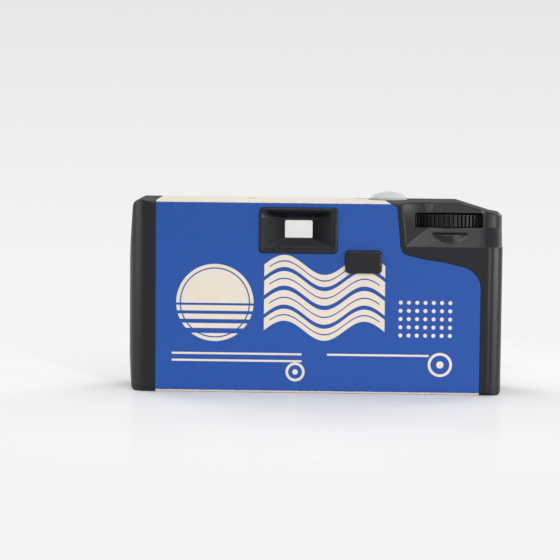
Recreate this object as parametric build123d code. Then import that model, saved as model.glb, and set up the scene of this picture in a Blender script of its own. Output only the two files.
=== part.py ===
from build123d import *
import math
import os

os.makedirs("parts", exist_ok=True)

# A single-use 35 mm film camera with a flash, wrapped in a paper label.
# X runs to the right as seen from behind, Y to the front, Z up from the base.
# Lengths are in millimetres. The film's standard sizes set the size of the body.

# Film and cassette, standard 35 mm sizes
film_width = 35.0
film_thickness = 0.14
film_inset = 2.6
film_gap = 0.1
film_end_dx = 10.0
perforation_pitch = 4.75
perforation_width = 1.98
perforation_height = 2.8
perforation_edge = 2.0
gate_width = 36.0
gate_height = 24.0
cassette_radius = 12.5
cassette_sheet = 0.3
cassette_ends = 8.0
cassette_base_z = 4.8
cap_thickness = 0.8
cap_hole_radius = 6.1
lip_reach = 16.7
lip_outer = 1.6
lip_slot = 0.7
spool_core_radius = 5.5
spool_end_radius = 5.9
spool_drop = 3.0
spool_fork_width = 1.6
spool_fork_depth = 3.0
spool_fork_radius = 4.6
roll_radius = 8.7
supply_core_radius = 4.9
supply_pin_radius = 1.5
pin_play = 0.06

# Whole body
wall = 1.4
left_room = 5.8
supply_run = 19.6
cassette_run = 29.6
right_room = 3.9
front_room = 2.5
top_room = 3.25
surround_out = 2.7
sprocket_cover_out = 1.3
fold_radius = 1.2
cover_joint_inset = 12.0
overrun = 1.0

# Plan of the body
rear_left_radius = 8.0
rear_right_radius = 4.8
front_corner_radius = 6.0

# Elevation of the body
left_base_in = 0.9
left_top_in = 1.3
left_bow_low = 12.0
left_bow_drop = 17.5
left_bow_radius = 120.0
top_left_radius = 2.5
base_corner_radius = 1.6
shoulder_in = 14.0
shoulder_drop = 3.75
shoulder_bend_in = 2.9
shoulder_bend_drop = 3.4
shoulder_bend_radius = 3.0
shoulder_corner_radius = 0.8

# Inner film frame
frame_wall = 1.2
gate_plate = 1.6
frame_film_drop = 1.8
deck_film_rise = 1.4
deck_thickness = 1.2
deck_left_in = 3.0
deck_right_dx = 15.0
deck_rear_inset = 4.7
deck_front_inset = 6.3
supply_bore_radius = 10.2
cassette_bore_radius = 12.9
frame_shell_wall = 0.8
chamber_open_inset = 3.8
chamber_top_gap = 0.4
chamber_base_drop = 1.8
lip_wall = 1.2
lip_gap = 0.3
step_overlap = 4.1
chamber_front_inset = 7.3
front_wall = 1.2
front_wall_half = 13.0
front_wall_low = 10.8
front_wall_high = 11.7
dark_wall = 1.4
dark_end_width = 11.2
dark_end_height = 9.2
light_hole_radius = 3.4
tunnel_width = 11.2
tunnel_height = 8.0
tunnel_rear_inset = 7.7
tunnel_front_inset = 3.7
shelf_gap = 0.35
bay_wall = 1.2
bay_left_room = 3.0
bay_right_room = 2.9

# Thumb wheel and its pawl
wheel_radius = 13.2
wheel_rise = 5.3
wheel_thickness = 3.7
wheel_teeth = 60
wheel_tooth_depth = 0.7
wheel_tooth_flare = 0.27
wheel_web = 1.4
wheel_rim = 2.6
wheel_hub_radius = 4.0
wheel_hub_gap = 0.2
wheel_pin_radius = 1.2
wheel_pin_height = 1.8
wheel_key_width = 1.2
wheel_key_half = 4.0
wheel_key_depth = 2.6
wheel_boss_radius = 2.4
wheel_clear = 0.3
pawl_dx = 11.2
pawl_dy = 11.5
pawl_pin_radius = 0.9
pawl_hub_radius = 1.8
pawl_lift = 0.5
pawl_thickness = 1.6
pawl_width = 1.2
pawl_gap_number = 25
pawl_tip_gap = 0.15
pawl_ear_half = 2.4

# Thumb recess and wheel slot
slot_width = 21.6
slot_base_gap = 0.3
slot_top_gap = 0.6
slot_radius = 0.5
slot_shift = 0.3
recess_left_dx = 13.8
recess_rise = 6.0
recess_depth = 2.5
recess_top_depth = 4.1
recess_lean = 1.3
recess_crease_dx = 6.2
recess_top_crease_dx = 7.1
recess_crease = 0.15
recess_top_crease = 1.4
recess_end_radius = 7.6
tangent_ease = 0.02
bulge_radius = 14.1
bulge_wall = 1.1
bulge_inset = 0.5
bulge_drop = 2.1
bulge_slit = 0.35
bulge_slit_width = 10.9
bulge_slit_depth = 0.8

# Paper label
label_thickness = 0.25
label_sink = 0.05
label_gap = 0.1
label_left_in = 8.7
label_recess_gap = 2.8
label_top_taper = 1.5
label_corner_run = 2.9
label_corner_drop = 1.6
label_step_run = 1.4
label_step_drop = 2.2
label_end_in = 6.9
label_end_drop = 5.4
label_step_radius = 3.2
label_end_radius = 7.0
label_low_run = 7.4
label_low_drop = 1.7
label_high_run = 14.0
label_high_drop = 2.6
label_bend_radius = 14.0
label_button_radius = 6.6

# Eyepiece
eyepiece_drop = 0.1
eyepiece_width = 24.5
eyepiece_height = 14.2
eyepiece_out = 0.6
eyepiece_radius = 1.2
eyepiece_rim = 1.1
eyepiece_edge = 0.35
eyepiece_bevel = 0.4
eyepiece_depth = 6.3
eyepiece_hole_width = 8.7
eyepiece_hole_height = 5.8
eyepiece_hole_radius = 0.6
eyepiece_wall = 1.1
finder_fit = 0.3

# Sprocket cover on the rear
sprocket_cover_rise = 1.4
sprocket_cover_width = 11.3
sprocket_cover_height = 7.0
sprocket_cover_radius = 1.2
sprocket_cover_edge = 0.55
sprocket_cover_wall = 1.0

# Sprocket shaft
sprocket_dx = 27.0
sprocket_teeth = 8
sprocket_tooth_out = 1.4
sprocket_tooth_width = 1.3
sprocket_tooth_height = 1.8
sprocket_drum_height = 3.1
sprocket_clear = 0.4
drum_gap = 0.3
shaft_radius = 1.5
bearing_drop = 5.8
bearing_height = 1.8
bearing_reach = 9.0
bearing_half = 5.8
shaft_end_gap = 0.4
cam_radius = 3.4
cam_notch = 1.2
shaft_top_rise = 0.5

# Levers on the deck, placed from the sprocket's axis and the rear face
lever_lift = 0.8
lever_thickness = 1.2
lever_width = 2.2
lever_hub_radius = 2.3
pivot_radius = 1.2
lock_pivot_dx = 8.4
lock_pivot_in = 13.5
lock_tip_dx = 3.0
lock_tip_in = 11.8
lock_hook_dx = 12.4
lock_hook_in = 8.1
lock_pad_in = 19.7
lock_tip_radius = 0.7
lock_post_radius = 0.9
lock_nose_low = 0.8
lock_nose_high = 2.2
lock_nose_gap = 0.3
lock_swing = 1.0
striker_pivot_dx = 7.0
striker_pivot_in = 18.6
striker_reach = 6.9
striker_finger_radius = 0.7
striker_finger_rise = 8.2
striker_tail_dx = 1.7
striker_tail_in = 14.6

# Mechanism plate and its screws, placed from the counter's axis
plate_rise = 4.6
plate_thickness = 1.0
plate_left_dx = 9.0
plate_right_gap = 0.9
plate_rear_inset = 4.5
plate_front_inset = 5.7
post_radius = 1.7
post_offsets = ((-7.0, -12.4), (4.5, 2.6), (8.5, -13.4))
screw_radius = 0.8
screw_head_radius = 1.5
screw_head_height = 0.7
screw_length = 5.0

# Frame counter
counter_dx = 2.7
counter_in = 19.3
counter_radius = 7.4
counter_thickness = 1.0
counter_lift = 0.8
counter_teeth = 30
counter_tooth_depth = 0.7
counter_pin_radius = 1.5
counter_tooth_gap = 0.2
counter_tooth_width = 0.9
window_dx = 2.5
window_dy = 5.2
window_width = 3.6
window_depth = 2.8
window_drop = 2.6
window_flange = 0.5

# Shutter button
button_dx = 8.1
button_in = 20.7
button_radius = 5.85
button_fit = 0.2
button_rise = 0.85
button_dome = 1.7
button_skirt = 1.9
button_stem_radius = 1.8
button_stem_gap = 2.1
spring_radius = 3.0
spring_wire = 0.5
spring_gap = 0.05

# Lens and shutter
blade_thickness = 0.3
blade_gap = 0.5
blade_cover_radius = 2.6
blade_pivot_dx = 7.5
blade_pivot_dz = 4.5
blade_pin_radius = 0.8
blade_hub_radius = 1.7
blade_arm_width = 1.8
blade_tail_dx = 1.4
blade_tail_dz = 5.2
board_left_dx = -12.0
board_right_dx = 12.0
board_base_dz = -7.5
board_top_dz = 7.5
board_gap = 0.5
board_thickness = 3.0
board_foot_radius = 1.2
board_foot_dx = 10.0
board_foot_dz = 5.5
stop_radius = 1.6
stop_land = 0.8
lens_radius = 4.5
lens_fit = 0.05
lens_thickness = 1.9
lens_crown = 0.5
surround_radius = 13.0
surround_neck_radius = 11.0
surround_mouth_radius = 9.5
surround_throat_radius = 3.0
surround_gap = 0.2
surround_step = 1.2
surround_bevel = 0.65

# Viewfinder lenses
finder_lens_thickness = 1.0
finder_lens_gap = 0.3
finder_rear_margin = 0.6
finder_front_margin = 0.8
finder_window_margin = 0.4

# Flash window, reflector and tube
flash_in = 20.0
flash_drop = 8.9
flash_width = 22.0
flash_height = 11.0
flash_wall = 0.8
flash_depth = 8.4
flash_throat_height = 4.6
flash_side_slope = 1.6
flash_window_thickness = 1.5
flash_window_margin = 0.5
flash_window_fit = 0.1
tube_radius = 1.4
tube_overhang = 1.6
tube_play = 0.1
tube_back = 2.2

# Flash capacitor and circuit board
capacitor_radius = 5.9
capacitor_length = 28.0
capacitor_left_in = 8.0
capacitor_rear_in = 9.2
capacitor_drop = 7.9
capacitor_step = 1.6
capacitor_groove = 0.5
board_left_in = 4.0
board_right_dx_lens = 14.1
board_base_gap = 1.6
board_top_gap = 0.4
board_sheet = 1.2
board_rear_gap = 0.6
board_notch = 8.0
transformer_dx = 7.0
transformer_drop = 6.8
transformer_width = 8.0
transformer_height = 7.0
transformer_depth = 2.8
transformer_waist = 1.0
resistor_radius = 0.9
resistor_length = 6.0
resistor_pitch = 3.4
resistor_count = 4
resistor_dx = 9.5
resistor_drop = 12.8
coil_radius = 2.6
coil_height = 2.7
coil_rise = 5.4
coil_dx = 12.5

# Battery
battery_radius = 5.25
battery_length = 43.3
battery_nub_radius = 1.9
battery_nub_height = 1.2
battery_dx = 22.6
battery_front_in = 7.7
battery_z = 7.4
contact_sheet = 0.4
contact_width = 7.0
contact_height = 9.0
contact_gap = 0.15

# Flash switch, ready lamp and flash contact
switch_drop = 2.3
switch_travel = 3.0
switch_knob_width = 9.0
switch_knob_height = 6.0
switch_knob_out = 1.6
switch_neck_width = 4.0
switch_neck_height = 3.4
switch_corner_radius = 1.0
switch_plate_margin = 1.6
switch_plate_thickness = 1.0
switch_fit = 0.15
switch_rib_count = 3
switch_rib = 0.5
lamp_dx = 15.6
lamp_in = 20.7
lamp_radius = 1.5
lamp_fit = 0.1
lamp_foot_radius = 2.6
lamp_foot_height = 1.6
sync_dx = 9.2
sync_rise = 8.6
sync_length = 9.0
sync_width = 2.0
sync_sheet = 0.25

# Covers
pad_count = 4
pad_width = 1.2
pad_span = 26.0
pad_left_dx = 26.6
pad_right_dx = 14.4
door_left_dx = 13.7
door_right_dx = 13.3
door_rear_dy = 9.9
door_front_dy = 11.6
door_gap = 0.15
door_rib_shares = (0.13, 0.87)
door_rib = 1.2
door_rib_length = 12.0
door_rib_height = 1.6

# Worked-out places across the body
chambers_width = supply_bore_radius + supply_run + gate_width + cassette_run + cassette_bore_radius
body_width = left_room + chambers_width + right_room
body_depth = bulge_inset + bulge_radius + cassette_bore_radius + front_room
half_width = body_width / 2
supply_x = left_room + supply_bore_radius - half_width
lens_x = supply_x + supply_run + gate_width / 2
cassette_x = half_width - right_room - cassette_bore_radius
sprocket_x = cassette_x - sprocket_dx
counter_x = sprocket_x - counter_dx
window_x = counter_x + window_dx
button_x = sprocket_x + button_dx
lock_pivot_x = sprocket_x + lock_pivot_dx
lock_tip_x = sprocket_x + lock_tip_dx
lock_hook_x = sprocket_x + lock_hook_dx
striker_pivot_x = sprocket_x - striker_pivot_dx
striker_tail_x = sprocket_x - striker_tail_dx
pawl_x = cassette_x - pawl_dx
recess_left_x = cassette_x - recess_left_dx
recess_crease_x = cassette_x - recess_crease_dx
recess_top_crease_x = cassette_x - recess_top_crease_dx
label_left_x = label_left_in - half_width
label_top_rear_x = recess_left_x - label_recess_gap
label_top_front_x = label_top_rear_x - label_top_taper
label_step_x = label_top_rear_x + label_step_run
label_end_x = half_width - label_end_in
label_low_x = label_step_x + label_low_run
label_high_x = label_step_x + label_high_run
shoulder_start_x = half_width - shoulder_in
shoulder_bend_x = half_width - shoulder_bend_in
deck_left_x = deck_left_in - half_width
deck_right_x = cassette_x - deck_right_dx
plate_left_x = counter_x - plate_left_dx
plate_right_x = deck_right_x - plate_right_gap
battery_left_x = lens_x - battery_dx
battery_bay_left_x = battery_left_x - bay_left_room
battery_bay_right_x = battery_left_x + battery_length + battery_nub_height + bay_right_room
flash_x = flash_in - half_width
switch_x = flash_x
capacitor_left_x = capacitor_left_in - half_width
board_x = (board_left_in - half_width, lens_x - board_right_dx_lens)
transformer_x = board_x[0] + transformer_dx
resistor_x = board_x[1] - resistor_dx
coil_x = board_x[1] - coil_dx
lamp_x = lens_x - lamp_dx
sync_x = lens_x - sync_dx
pad_left_x = lens_x - pad_left_dx
pad_right_x = lens_x + pad_right_dx
door_x = (cassette_x - door_left_dx, cassette_x + door_right_dx)

# Worked-out places from the rear to the front
rear_y = sprocket_cover_out - (body_depth + sprocket_cover_out + surround_out) / 2
front_y = rear_y + body_depth
joint_y = rear_y + cover_joint_inset
inner_rear_y = rear_y + wall
inner_front_y = front_y - wall
film_y = rear_y + film_inset
cassette_y = rear_y + bulge_inset + bulge_radius
supply_y = film_y + film_thickness / 2 + film_gap + roll_radius
gate_y = (film_y + film_thickness / 2 + film_gap, film_y + film_thickness / 2 + film_gap + gate_plate)
open_y = rear_y + chamber_open_inset
chamber_front_y = (front_y - chamber_front_inset, front_y - chamber_front_inset + front_wall)
deck_y = (rear_y + deck_rear_inset, front_y - deck_front_inset)
sprocket_radius = sprocket_teeth * perforation_pitch / (2 * math.pi)
drum_radius = sprocket_radius - film_thickness - film_gap
sprocket_y = film_y + sprocket_radius
counter_y = rear_y + counter_in
window_y = counter_y + window_dy
button_y = rear_y + button_in
lock_pivot_y = rear_y + lock_pivot_in
lock_tip_y = rear_y + lock_tip_in
lock_hook_y = rear_y + lock_hook_in
lock_pad_y = rear_y + lock_pad_in
striker_pivot_y = rear_y + striker_pivot_in
striker_tail_y = rear_y + striker_tail_in
post_places = tuple((counter_x + dx, counter_y + dy) for dx, dy in post_offsets)
pawl_y = cassette_y + pawl_dy
capacitor_y = rear_y + capacitor_rear_in
battery_y = front_y - battery_front_in
lamp_y = rear_y + lamp_in
door_y = (cassette_y - door_rear_dy, cassette_y + door_front_dy)
blade_y = (chamber_front_y[1] + blade_gap, chamber_front_y[1] + blade_gap + blade_thickness)
board_y = (blade_y[1] + board_gap, blade_y[1] + board_gap + board_thickness)
tunnel_y = (rear_y + tunnel_rear_inset, front_y - tunnel_front_inset)

# Worked-out heights
cassette_height = film_width + cassette_ends
cassette_z = (cassette_base_z, cassette_base_z + cassette_height)
film_centre_z = cassette_base_z + cassette_height / 2
film_z = (film_centre_z - film_width / 2, film_centre_z + film_width / 2)
perforation_z = film_z[1] - perforation_edge - perforation_height / 2
drum_z = (perforation_z - sprocket_drum_height / 2, perforation_z + sprocket_drum_height / 2)
bearing_base_z = perforation_z - bearing_drop
sprocket_cover_z = perforation_z + sprocket_cover_rise
frame_base_z = film_z[0] - frame_film_drop
deck_z = film_z[1] + deck_film_rise
deck_top_z = deck_z + deck_thickness
chamber_base_z = cassette_z[0] - chamber_base_drop
chamber_top_z = cassette_z[1] + chamber_top_gap
front_wall_base_z = film_centre_z - front_wall_low
front_wall_top_z = film_centre_z + front_wall_high
shelf_z = battery_z + battery_radius + shelf_gap
lever_z = (deck_top_z + lever_lift, deck_top_z + lever_lift + lever_thickness)
striker_finger_base_z = film_centre_z + striker_finger_rise
plate_z = lever_z[1] + plate_rise
plate_top_z = plate_z + plate_thickness
counter_z = (plate_top_z + counter_lift, plate_top_z + counter_lift + counter_thickness)
shaft_top_z = counter_z[1] + shaft_top_rise
wheel_base_z = cassette_z[1] + wheel_rise
wheel_z = (wheel_base_z, wheel_base_z + wheel_thickness)
lock_nose_base_z = wheel_base_z + lock_nose_low
lock_nose_top_z = wheel_base_z + lock_nose_high
pawl_base_z = wheel_base_z + pawl_lift
slot_base_z = wheel_base_z - slot_base_gap
slot_top_z = wheel_z[1] + slot_top_gap
recess_base_z = slot_base_z - recess_rise
bulge_top_z = slot_base_z - bulge_drop
label_step_z = recess_base_z - label_step_drop
label_end_z = label_step_z - label_end_drop
label_low_z = label_step_z - label_low_drop
label_high_z = label_step_z - label_high_drop
body_height = slot_top_z + top_room
left_bow_high = body_height - left_bow_drop
inner_top_z = body_height - wall
button_skirt_z = body_height - button_skirt
button_stem_base_z = lever_z[1] + button_stem_gap
flash_z = body_height - flash_drop
capacitor_z = body_height - capacitor_drop
board_z = (shelf_z + board_base_gap, deck_z - board_top_gap)
transformer_z = board_z[1] - transformer_drop
resistor_z = board_z[1] - resistor_drop
coil_z = board_z[0] + coil_rise
switch_z = film_centre_z - switch_drop
sync_z = film_centre_z + sync_rise
finder_place = (lens_x, deck_top_z + frame_wall + tunnel_height / 2)
eyepiece_z = finder_place[1] - eyepiece_drop
lens_place = (lens_x, film_centre_z)
blade_pivot = (lens_x + blade_pivot_dx, film_centre_z + blade_pivot_dz)


# Basic solids between named limits
def block(x, y, z):
    """A box between pairs of limits."""
    centre = Pos((x[0] + x[1]) / 2, (y[0] + y[1]) / 2, (z[0] + z[1]) / 2)
    return centre * Box(x[1] - x[0], y[1] - y[0], z[1] - z[0])


def about(middle, size):
    """The pair of limits of a size centred on a middle."""
    return (middle - size / 2, middle + size / 2)


def post(place, radius, z):
    """An upright cylinder at a place in plan."""
    return Pos(place[0], place[1], (z[0] + z[1]) / 2) * Cylinder(radius, z[1] - z[0])


def barrel(place, radius, y):
    """A cylinder along Y at a place in elevation."""
    return Pos(place[0], (y[0] + y[1]) / 2, place[1]) * Rot(90, 0, 0) * Cylinder(radius, y[1] - y[0])


def roller(place, radius, x):
    """A cylinder along X at a place seen from the end."""
    return Pos((x[0] + x[1]) / 2, place[0], place[1]) * Rot(0, 90, 0) * Cylinder(radius, x[1] - x[0])


def outline(points, radii=0):
    """A face inside a closed line with rounded corners."""
    return make_face(FilletPolyline(*points, radius=radii, close=True))


def rounded(place, width, height, radius):
    """A rounded rectangle about a place."""
    return Pos(place[0], place[1]) * RectangleRounded(width, height, radius)


def along_x(face, x):
    """A face drawn in Y and Z, carried along X."""
    return Pos(x[0], 0, 0) * (Plane.YZ * extrude(face, amount=x[1] - x[0], dir=(0, 0, 1)))


def along_y(face, y):
    """A face drawn in X and Z, carried along Y."""
    return Pos(0, y[1], 0) * Rot(90, 0, 0) * extrude(face, amount=y[1] - y[0], dir=(0, 0, 1))


def along_z(face, z):
    """A face drawn in plan, carried along Z."""
    return Pos(0, 0, z[0]) * extrude(face, amount=z[1] - z[0], dir=(0, 0, 1))


def bar(start, end, width):
    """A straight arm in plan with round ends."""
    length = math.hypot(end[0] - start[0], end[1] - start[1])
    turn = math.degrees(math.atan2(end[1] - start[1], end[0] - start[0]))
    middle = Pos((start[0] + end[0]) / 2, (start[1] + end[1]) / 2)
    arm = middle * Rot(0, 0, turn) * Rectangle(length, width)
    return arm + Pos(*start) * Circle(width / 2) + Pos(*end) * Circle(width / 2)


def tapered(place, y, rear, front, radii=(0, 0)):
    """A four-sided form from a rear width and height to a front one."""
    faces = []
    for depth, size, radius in ((y[0], rear, radii[0]), (y[1], front, radii[1])):
        plane = Plane(origin=(place[0], depth, place[1]), x_dir=(1, 0, 0), z_dir=(0, -1, 0))
        faces.append(plane * (RectangleRounded(*size, radius) if radius else Rectangle(*size)))
    return loft(faces)


# Outer form of the body
def drawn_in(radii, inset):
    """Corner radii of an outline that is drawn in by an inset."""
    return [max(radius - inset, 0) for radius in radii]


def plan_face(inset):
    """The body seen from above."""
    x = half_width - inset
    y = (rear_y + inset, front_y - inset)
    radii = (rear_left_radius, rear_right_radius, front_corner_radius, front_corner_radius)
    return outline(((-x, y[0]), (x, y[0]), (x, y[1]), (-x, y[1])), drawn_in(radii, inset))


def moved_in(points, inset):
    """The corners of an anticlockwise outline whose sides all move in by an inset."""
    corners = []
    for before, here, after in zip(points[-1:] + points[:-1], points, points[1:] + points[:1]):
        first = (Vector(*here) - Vector(*before)).normalized()
        second = (Vector(*after) - Vector(*here)).normalized()
        reach = inset / (1 + first.dot(second))
        inward = (first + second).rotate(Axis.Z, 90)
        corners.append((here[0] + reach * inward.X, here[1] + reach * inward.Y))
    return corners


def elevation_face(inset):
    """The body seen from behind, with its bowed left end and sloping shoulder."""
    points = (
        (left_base_in - half_width, 0),
        (half_width, 0),
        (half_width, body_height - shoulder_drop),
        (shoulder_bend_x, body_height - shoulder_bend_drop),
        (shoulder_start_x, body_height),
        (left_top_in - half_width, body_height),
        (-half_width, left_bow_high),
        (-half_width, left_bow_low),
    )
    radii = (
        base_corner_radius,
        base_corner_radius,
        shoulder_corner_radius,
        shoulder_bend_radius,
        shoulder_bend_radius,
        top_left_radius,
        left_bow_radius,
        left_bow_radius,
    )
    return outline(moved_in(points, inset), drawn_in(radii, inset))


def fold_space(inset):
    """What the four rounded folds along the body leave outside them."""
    x = (-half_width - overrun, half_width + overrun)
    radius = fold_radius - inset
    spaces = []
    for face_y, outward in ((rear_y + inset, -1), (front_y - inset, 1)):
        for face_z, upward in ((inset, -1), (body_height - inset, 1)):
            centre = (face_y - outward * radius, face_z - upward * radius)
            far = (face_y + outward * overrun, face_z + upward * overrun)
            corner = outline(((centre[0], centre[1]), (far[0], centre[1]), far, (centre[0], far[1])))
            spaces.append(along_x(corner, x) - roller(centre, radius, (x[0] - overrun, x[1] + overrun)))
    return spaces


def body_form(inset):
    """The body's outer form, drawn in by an inset."""
    plan = along_z(plan_face(inset), (inset, body_height - inset))
    form = plan & along_y(elevation_face(inset), (rear_y - overrun, front_y + overrun))
    return form - fold_space(inset) if inset < fold_radius else form


# Thumb recess
def recess_levels():
    """Heights of the thumb recess, each with its depth, left edge, crease and half the crease's width."""
    slope = recess_rise / recess_depth
    run = (recess_crease_x - recess_left_x) / recess_depth
    lean = recess_lean / (body_height - recess_base_z)
    levels = (
        (recess_base_z - overrun * slope, -overrun, recess_left_x - overrun * run, recess_crease),
        (recess_base_z + recess_rise, recess_depth, recess_crease_x, recess_crease),
        (body_height, recess_top_depth, recess_top_crease_x, recess_top_crease),
        (body_height + overrun, recess_top_depth, recess_top_crease_x, recess_top_crease),
    )
    return [(z, depth, recess_left_x - lean * (z - recess_base_z), x, half) for z, depth, x, half in levels]


def recess_form(grow):
    """The space of the thumb recess, moved into the body by a wall's thickness."""
    outside = rear_y - 2 * overrun
    base_y = rear_y + grow
    far_x = half_width + overrun
    faces = []
    for z, depth, left_x, crease_x, half in recess_levels():
        back_y = base_y + depth
        run = (crease_x - left_x) / depth
        side_x = left_x + (outside - base_y) * run
        crease = ((crease_x - half, back_y - half / run), (crease_x + half, back_y))
        corners = ((side_x, outside),) + crease + ((far_x, back_y), (far_x, outside))
        faces.append(Pos(0, 0, z) * outline(corners))
    return loft(faces, ruled=True)


def recess_end(grow):
    """The large rounding where the thumb recess runs out at the right end."""
    start_x = half_width - recess_end_radius
    radius = recess_end_radius - grow
    far = (half_width + overrun, rear_y - overrun)
    faces = []
    levels = ((recess_base_z, 0),) + tuple(level[:2] for level in recess_levels()[1:])
    for z, depth in levels:
        start_y = rear_y + grow + depth - tangent_ease
        end = (start_x + radius, start_y + radius)
        middle = (end[0] - radius + radius * math.sqrt(1 / 2), end[1] - radius * math.sqrt(1 / 2))
        edge = Polyline(end, (far[0], end[1]), far, (start_x, far[1]), (start_x, start_y))
        faces.append(Pos(0, 0, z) * make_face(edge + ThreePointArc((start_x, start_y), middle, end)))
    return loft(faces, ruled=True)


# Label
def label_prism(top_x, y, gap):
    """The label's outline on one side of the body, carried through it."""
    left = label_left_x + gap
    points = (
        (left, -overrun),
        (label_end_x - gap, -overrun),
        (label_end_x - gap, label_end_z - gap),
        (label_high_x - gap, label_high_z - gap),
        (label_low_x - gap, label_low_z - gap),
        (label_step_x - gap, label_step_z - gap),
        (top_x - gap, body_height - label_corner_drop),
        (top_x - gap - label_corner_run, body_height),
        (top_x - gap - label_corner_run, body_height + overrun),
        (left, body_height + overrun),
    )
    bend = label_bend_radius
    radii = (0, 0, label_end_radius, bend, bend, label_step_radius, 0, 0, 0, 0)
    return along_y(outline(points, radii), y)


def label_zone(gap):
    """All the space that the label lies in, without its windows."""
    zone = label_prism(label_top_rear_x, (rear_y - overrun, 0), gap)
    zone += label_prism(label_top_front_x, (0, front_y + overrun), gap)
    beyond = outline(
        (
            (label_top_rear_x - label_corner_run - gap, rear_y + fold_radius),
            (half_width, rear_y + fold_radius),
            (half_width, front_y + overrun),
            (label_top_front_x - label_corner_run - gap, front_y + overrun),
        )
    )
    top = (body_height - fold_radius, body_height + 2 * overrun)
    zone -= along_z(beyond, top)
    return zone - post((button_x, button_y), label_button_radius + gap, top)


def label_windows(gap):
    """The openings in the label for what stands in or through it."""
    rear = (rear_y - overrun, joint_y)
    front = (joint_y, front_y + overrun)
    top = (inner_top_z, body_height + overrun)
    eyepiece = rounded(
        (lens_x, eyepiece_z), eyepiece_width + 2 * gap, eyepiece_height + 2 * gap, eyepiece_radius + gap
    )
    cuts = along_y(eyepiece, rear)
    cover = rounded(
        (sprocket_x, sprocket_cover_z),
        sprocket_cover_width + 2 * gap,
        sprocket_cover_height + 2 * gap,
        sprocket_cover_radius + gap,
    )
    cuts += along_y(cover, rear)
    cuts += barrel(lens_place, surround_radius + gap, front)
    cuts += along_y(finder_front_face(finder_window_margin + gap), front)
    cuts += along_y(flash_face(gap + flash_window_fit), front)
    cuts += along_y(switch_slot_face(gap), front)
    cuts += post((lamp_x, lamp_y), lamp_radius + lamp_fit + gap, top)
    cuts += along_z(window_face(window_flange + gap), top)
    return cuts


def wrap_label():
    """The paper skin, in its shallow pocket round the covers."""
    skin = body_form(label_sink) - body_form(label_sink + label_thickness)
    return (skin & label_zone(label_gap)) - label_windows(label_gap)


# Outlines shared by covers and what they hold
def finder_front_face(margin):
    """The viewfinder's front window."""
    width = tunnel_width + 2 * margin
    height = tunnel_height + 2 * margin
    return rounded(finder_place, width, height, eyepiece_radius)


def flash_face(margin):
    """The flash window."""
    return rounded((flash_x, flash_z), flash_width + 2 * margin, flash_height + 2 * margin, eyepiece_radius)


def switch_slot_face(margin):
    """The slot that the flash switch slides in."""
    width = switch_neck_width + 2 * (switch_fit + margin)
    height = switch_neck_height + switch_travel + 2 * (switch_fit + margin)
    middle = (switch_x, switch_z + switch_travel / 2)
    return rounded(middle, width, height, switch_corner_radius)


def window_face(margin):
    """The frame counter's window in plan."""
    return Pos(window_x, window_y) * Rectangle(window_width + 2 * margin, window_depth + 2 * margin)


# Covers
def eyepiece_outer():
    """The eyepiece's raised frame and the outside of its funnel."""
    frame = rounded((lens_x, eyepiece_z), eyepiece_width, eyepiece_height, eyepiece_radius)
    body = along_y(frame, (rear_y - eyepiece_out, inner_rear_y))
    body = fillet(body.faces().sort_by(Axis.Y)[0].edges(), eyepiece_edge)
    rear_size = (eyepiece_width, eyepiece_height)
    front_size = (eyepiece_hole_width + 2 * eyepiece_wall, eyepiece_hole_height + 2 * eyepiece_wall)
    y = (rear_y + label_sink + label_thickness, rear_y + eyepiece_depth)
    return body + tapered((lens_x, eyepiece_z), y, rear_size, front_size)


def eyepiece_funnel():
    """The pyramid opening of the eyepiece, with the bevel round its rim."""
    place = (lens_x, eyepiece_z)
    mouth = (eyepiece_width - 2 * eyepiece_rim, eyepiece_height - 2 * eyepiece_rim)
    hole = (eyepiece_hole_width, eyepiece_hole_height)
    outer_y = rear_y - eyepiece_out
    radii = (eyepiece_radius, eyepiece_hole_radius)
    funnel = tapered(place, (outer_y, rear_y + eyepiece_depth), mouth, hole, radii)
    rim = (mouth[0] + 2 * eyepiece_bevel, mouth[1] + 2 * eyepiece_bevel)
    inner_rim = (mouth[0] - 2 * eyepiece_bevel, mouth[1] - 2 * eyepiece_bevel)
    rim_y = (outer_y, outer_y + 2 * eyepiece_bevel)
    funnel += tapered(place, rim_y, rim, inner_rim, (eyepiece_radius, eyepiece_radius))
    throat = rounded(place, hole[0], hole[1], eyepiece_hole_radius)
    return funnel + along_y(throat, (rear_y + eyepiece_depth / 2, rear_y + 2 * eyepiece_depth))


def sprocket_cover():
    """The raised cover over the sprocket's teeth, and its hollow."""
    face = rounded(
        (sprocket_x, sprocket_cover_z), sprocket_cover_width, sprocket_cover_height, sprocket_cover_radius
    )
    solid = along_y(face, (rear_y - sprocket_cover_out, inner_rear_y))
    outer = solid.faces().sort_by(Axis.Y)[0]
    solid = fillet(outer.edges(), sprocket_cover_edge)
    hollow_y = (rear_y - sprocket_cover_out + sprocket_cover_wall, inner_rear_y + overrun)
    inner_x = about(sprocket_x, sprocket_cover_width - 2 * wall)
    inner_z = about(sprocket_cover_z, sprocket_cover_height - 2 * sprocket_cover_wall)
    return solid, block(inner_x, hollow_y, inner_z)


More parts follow.
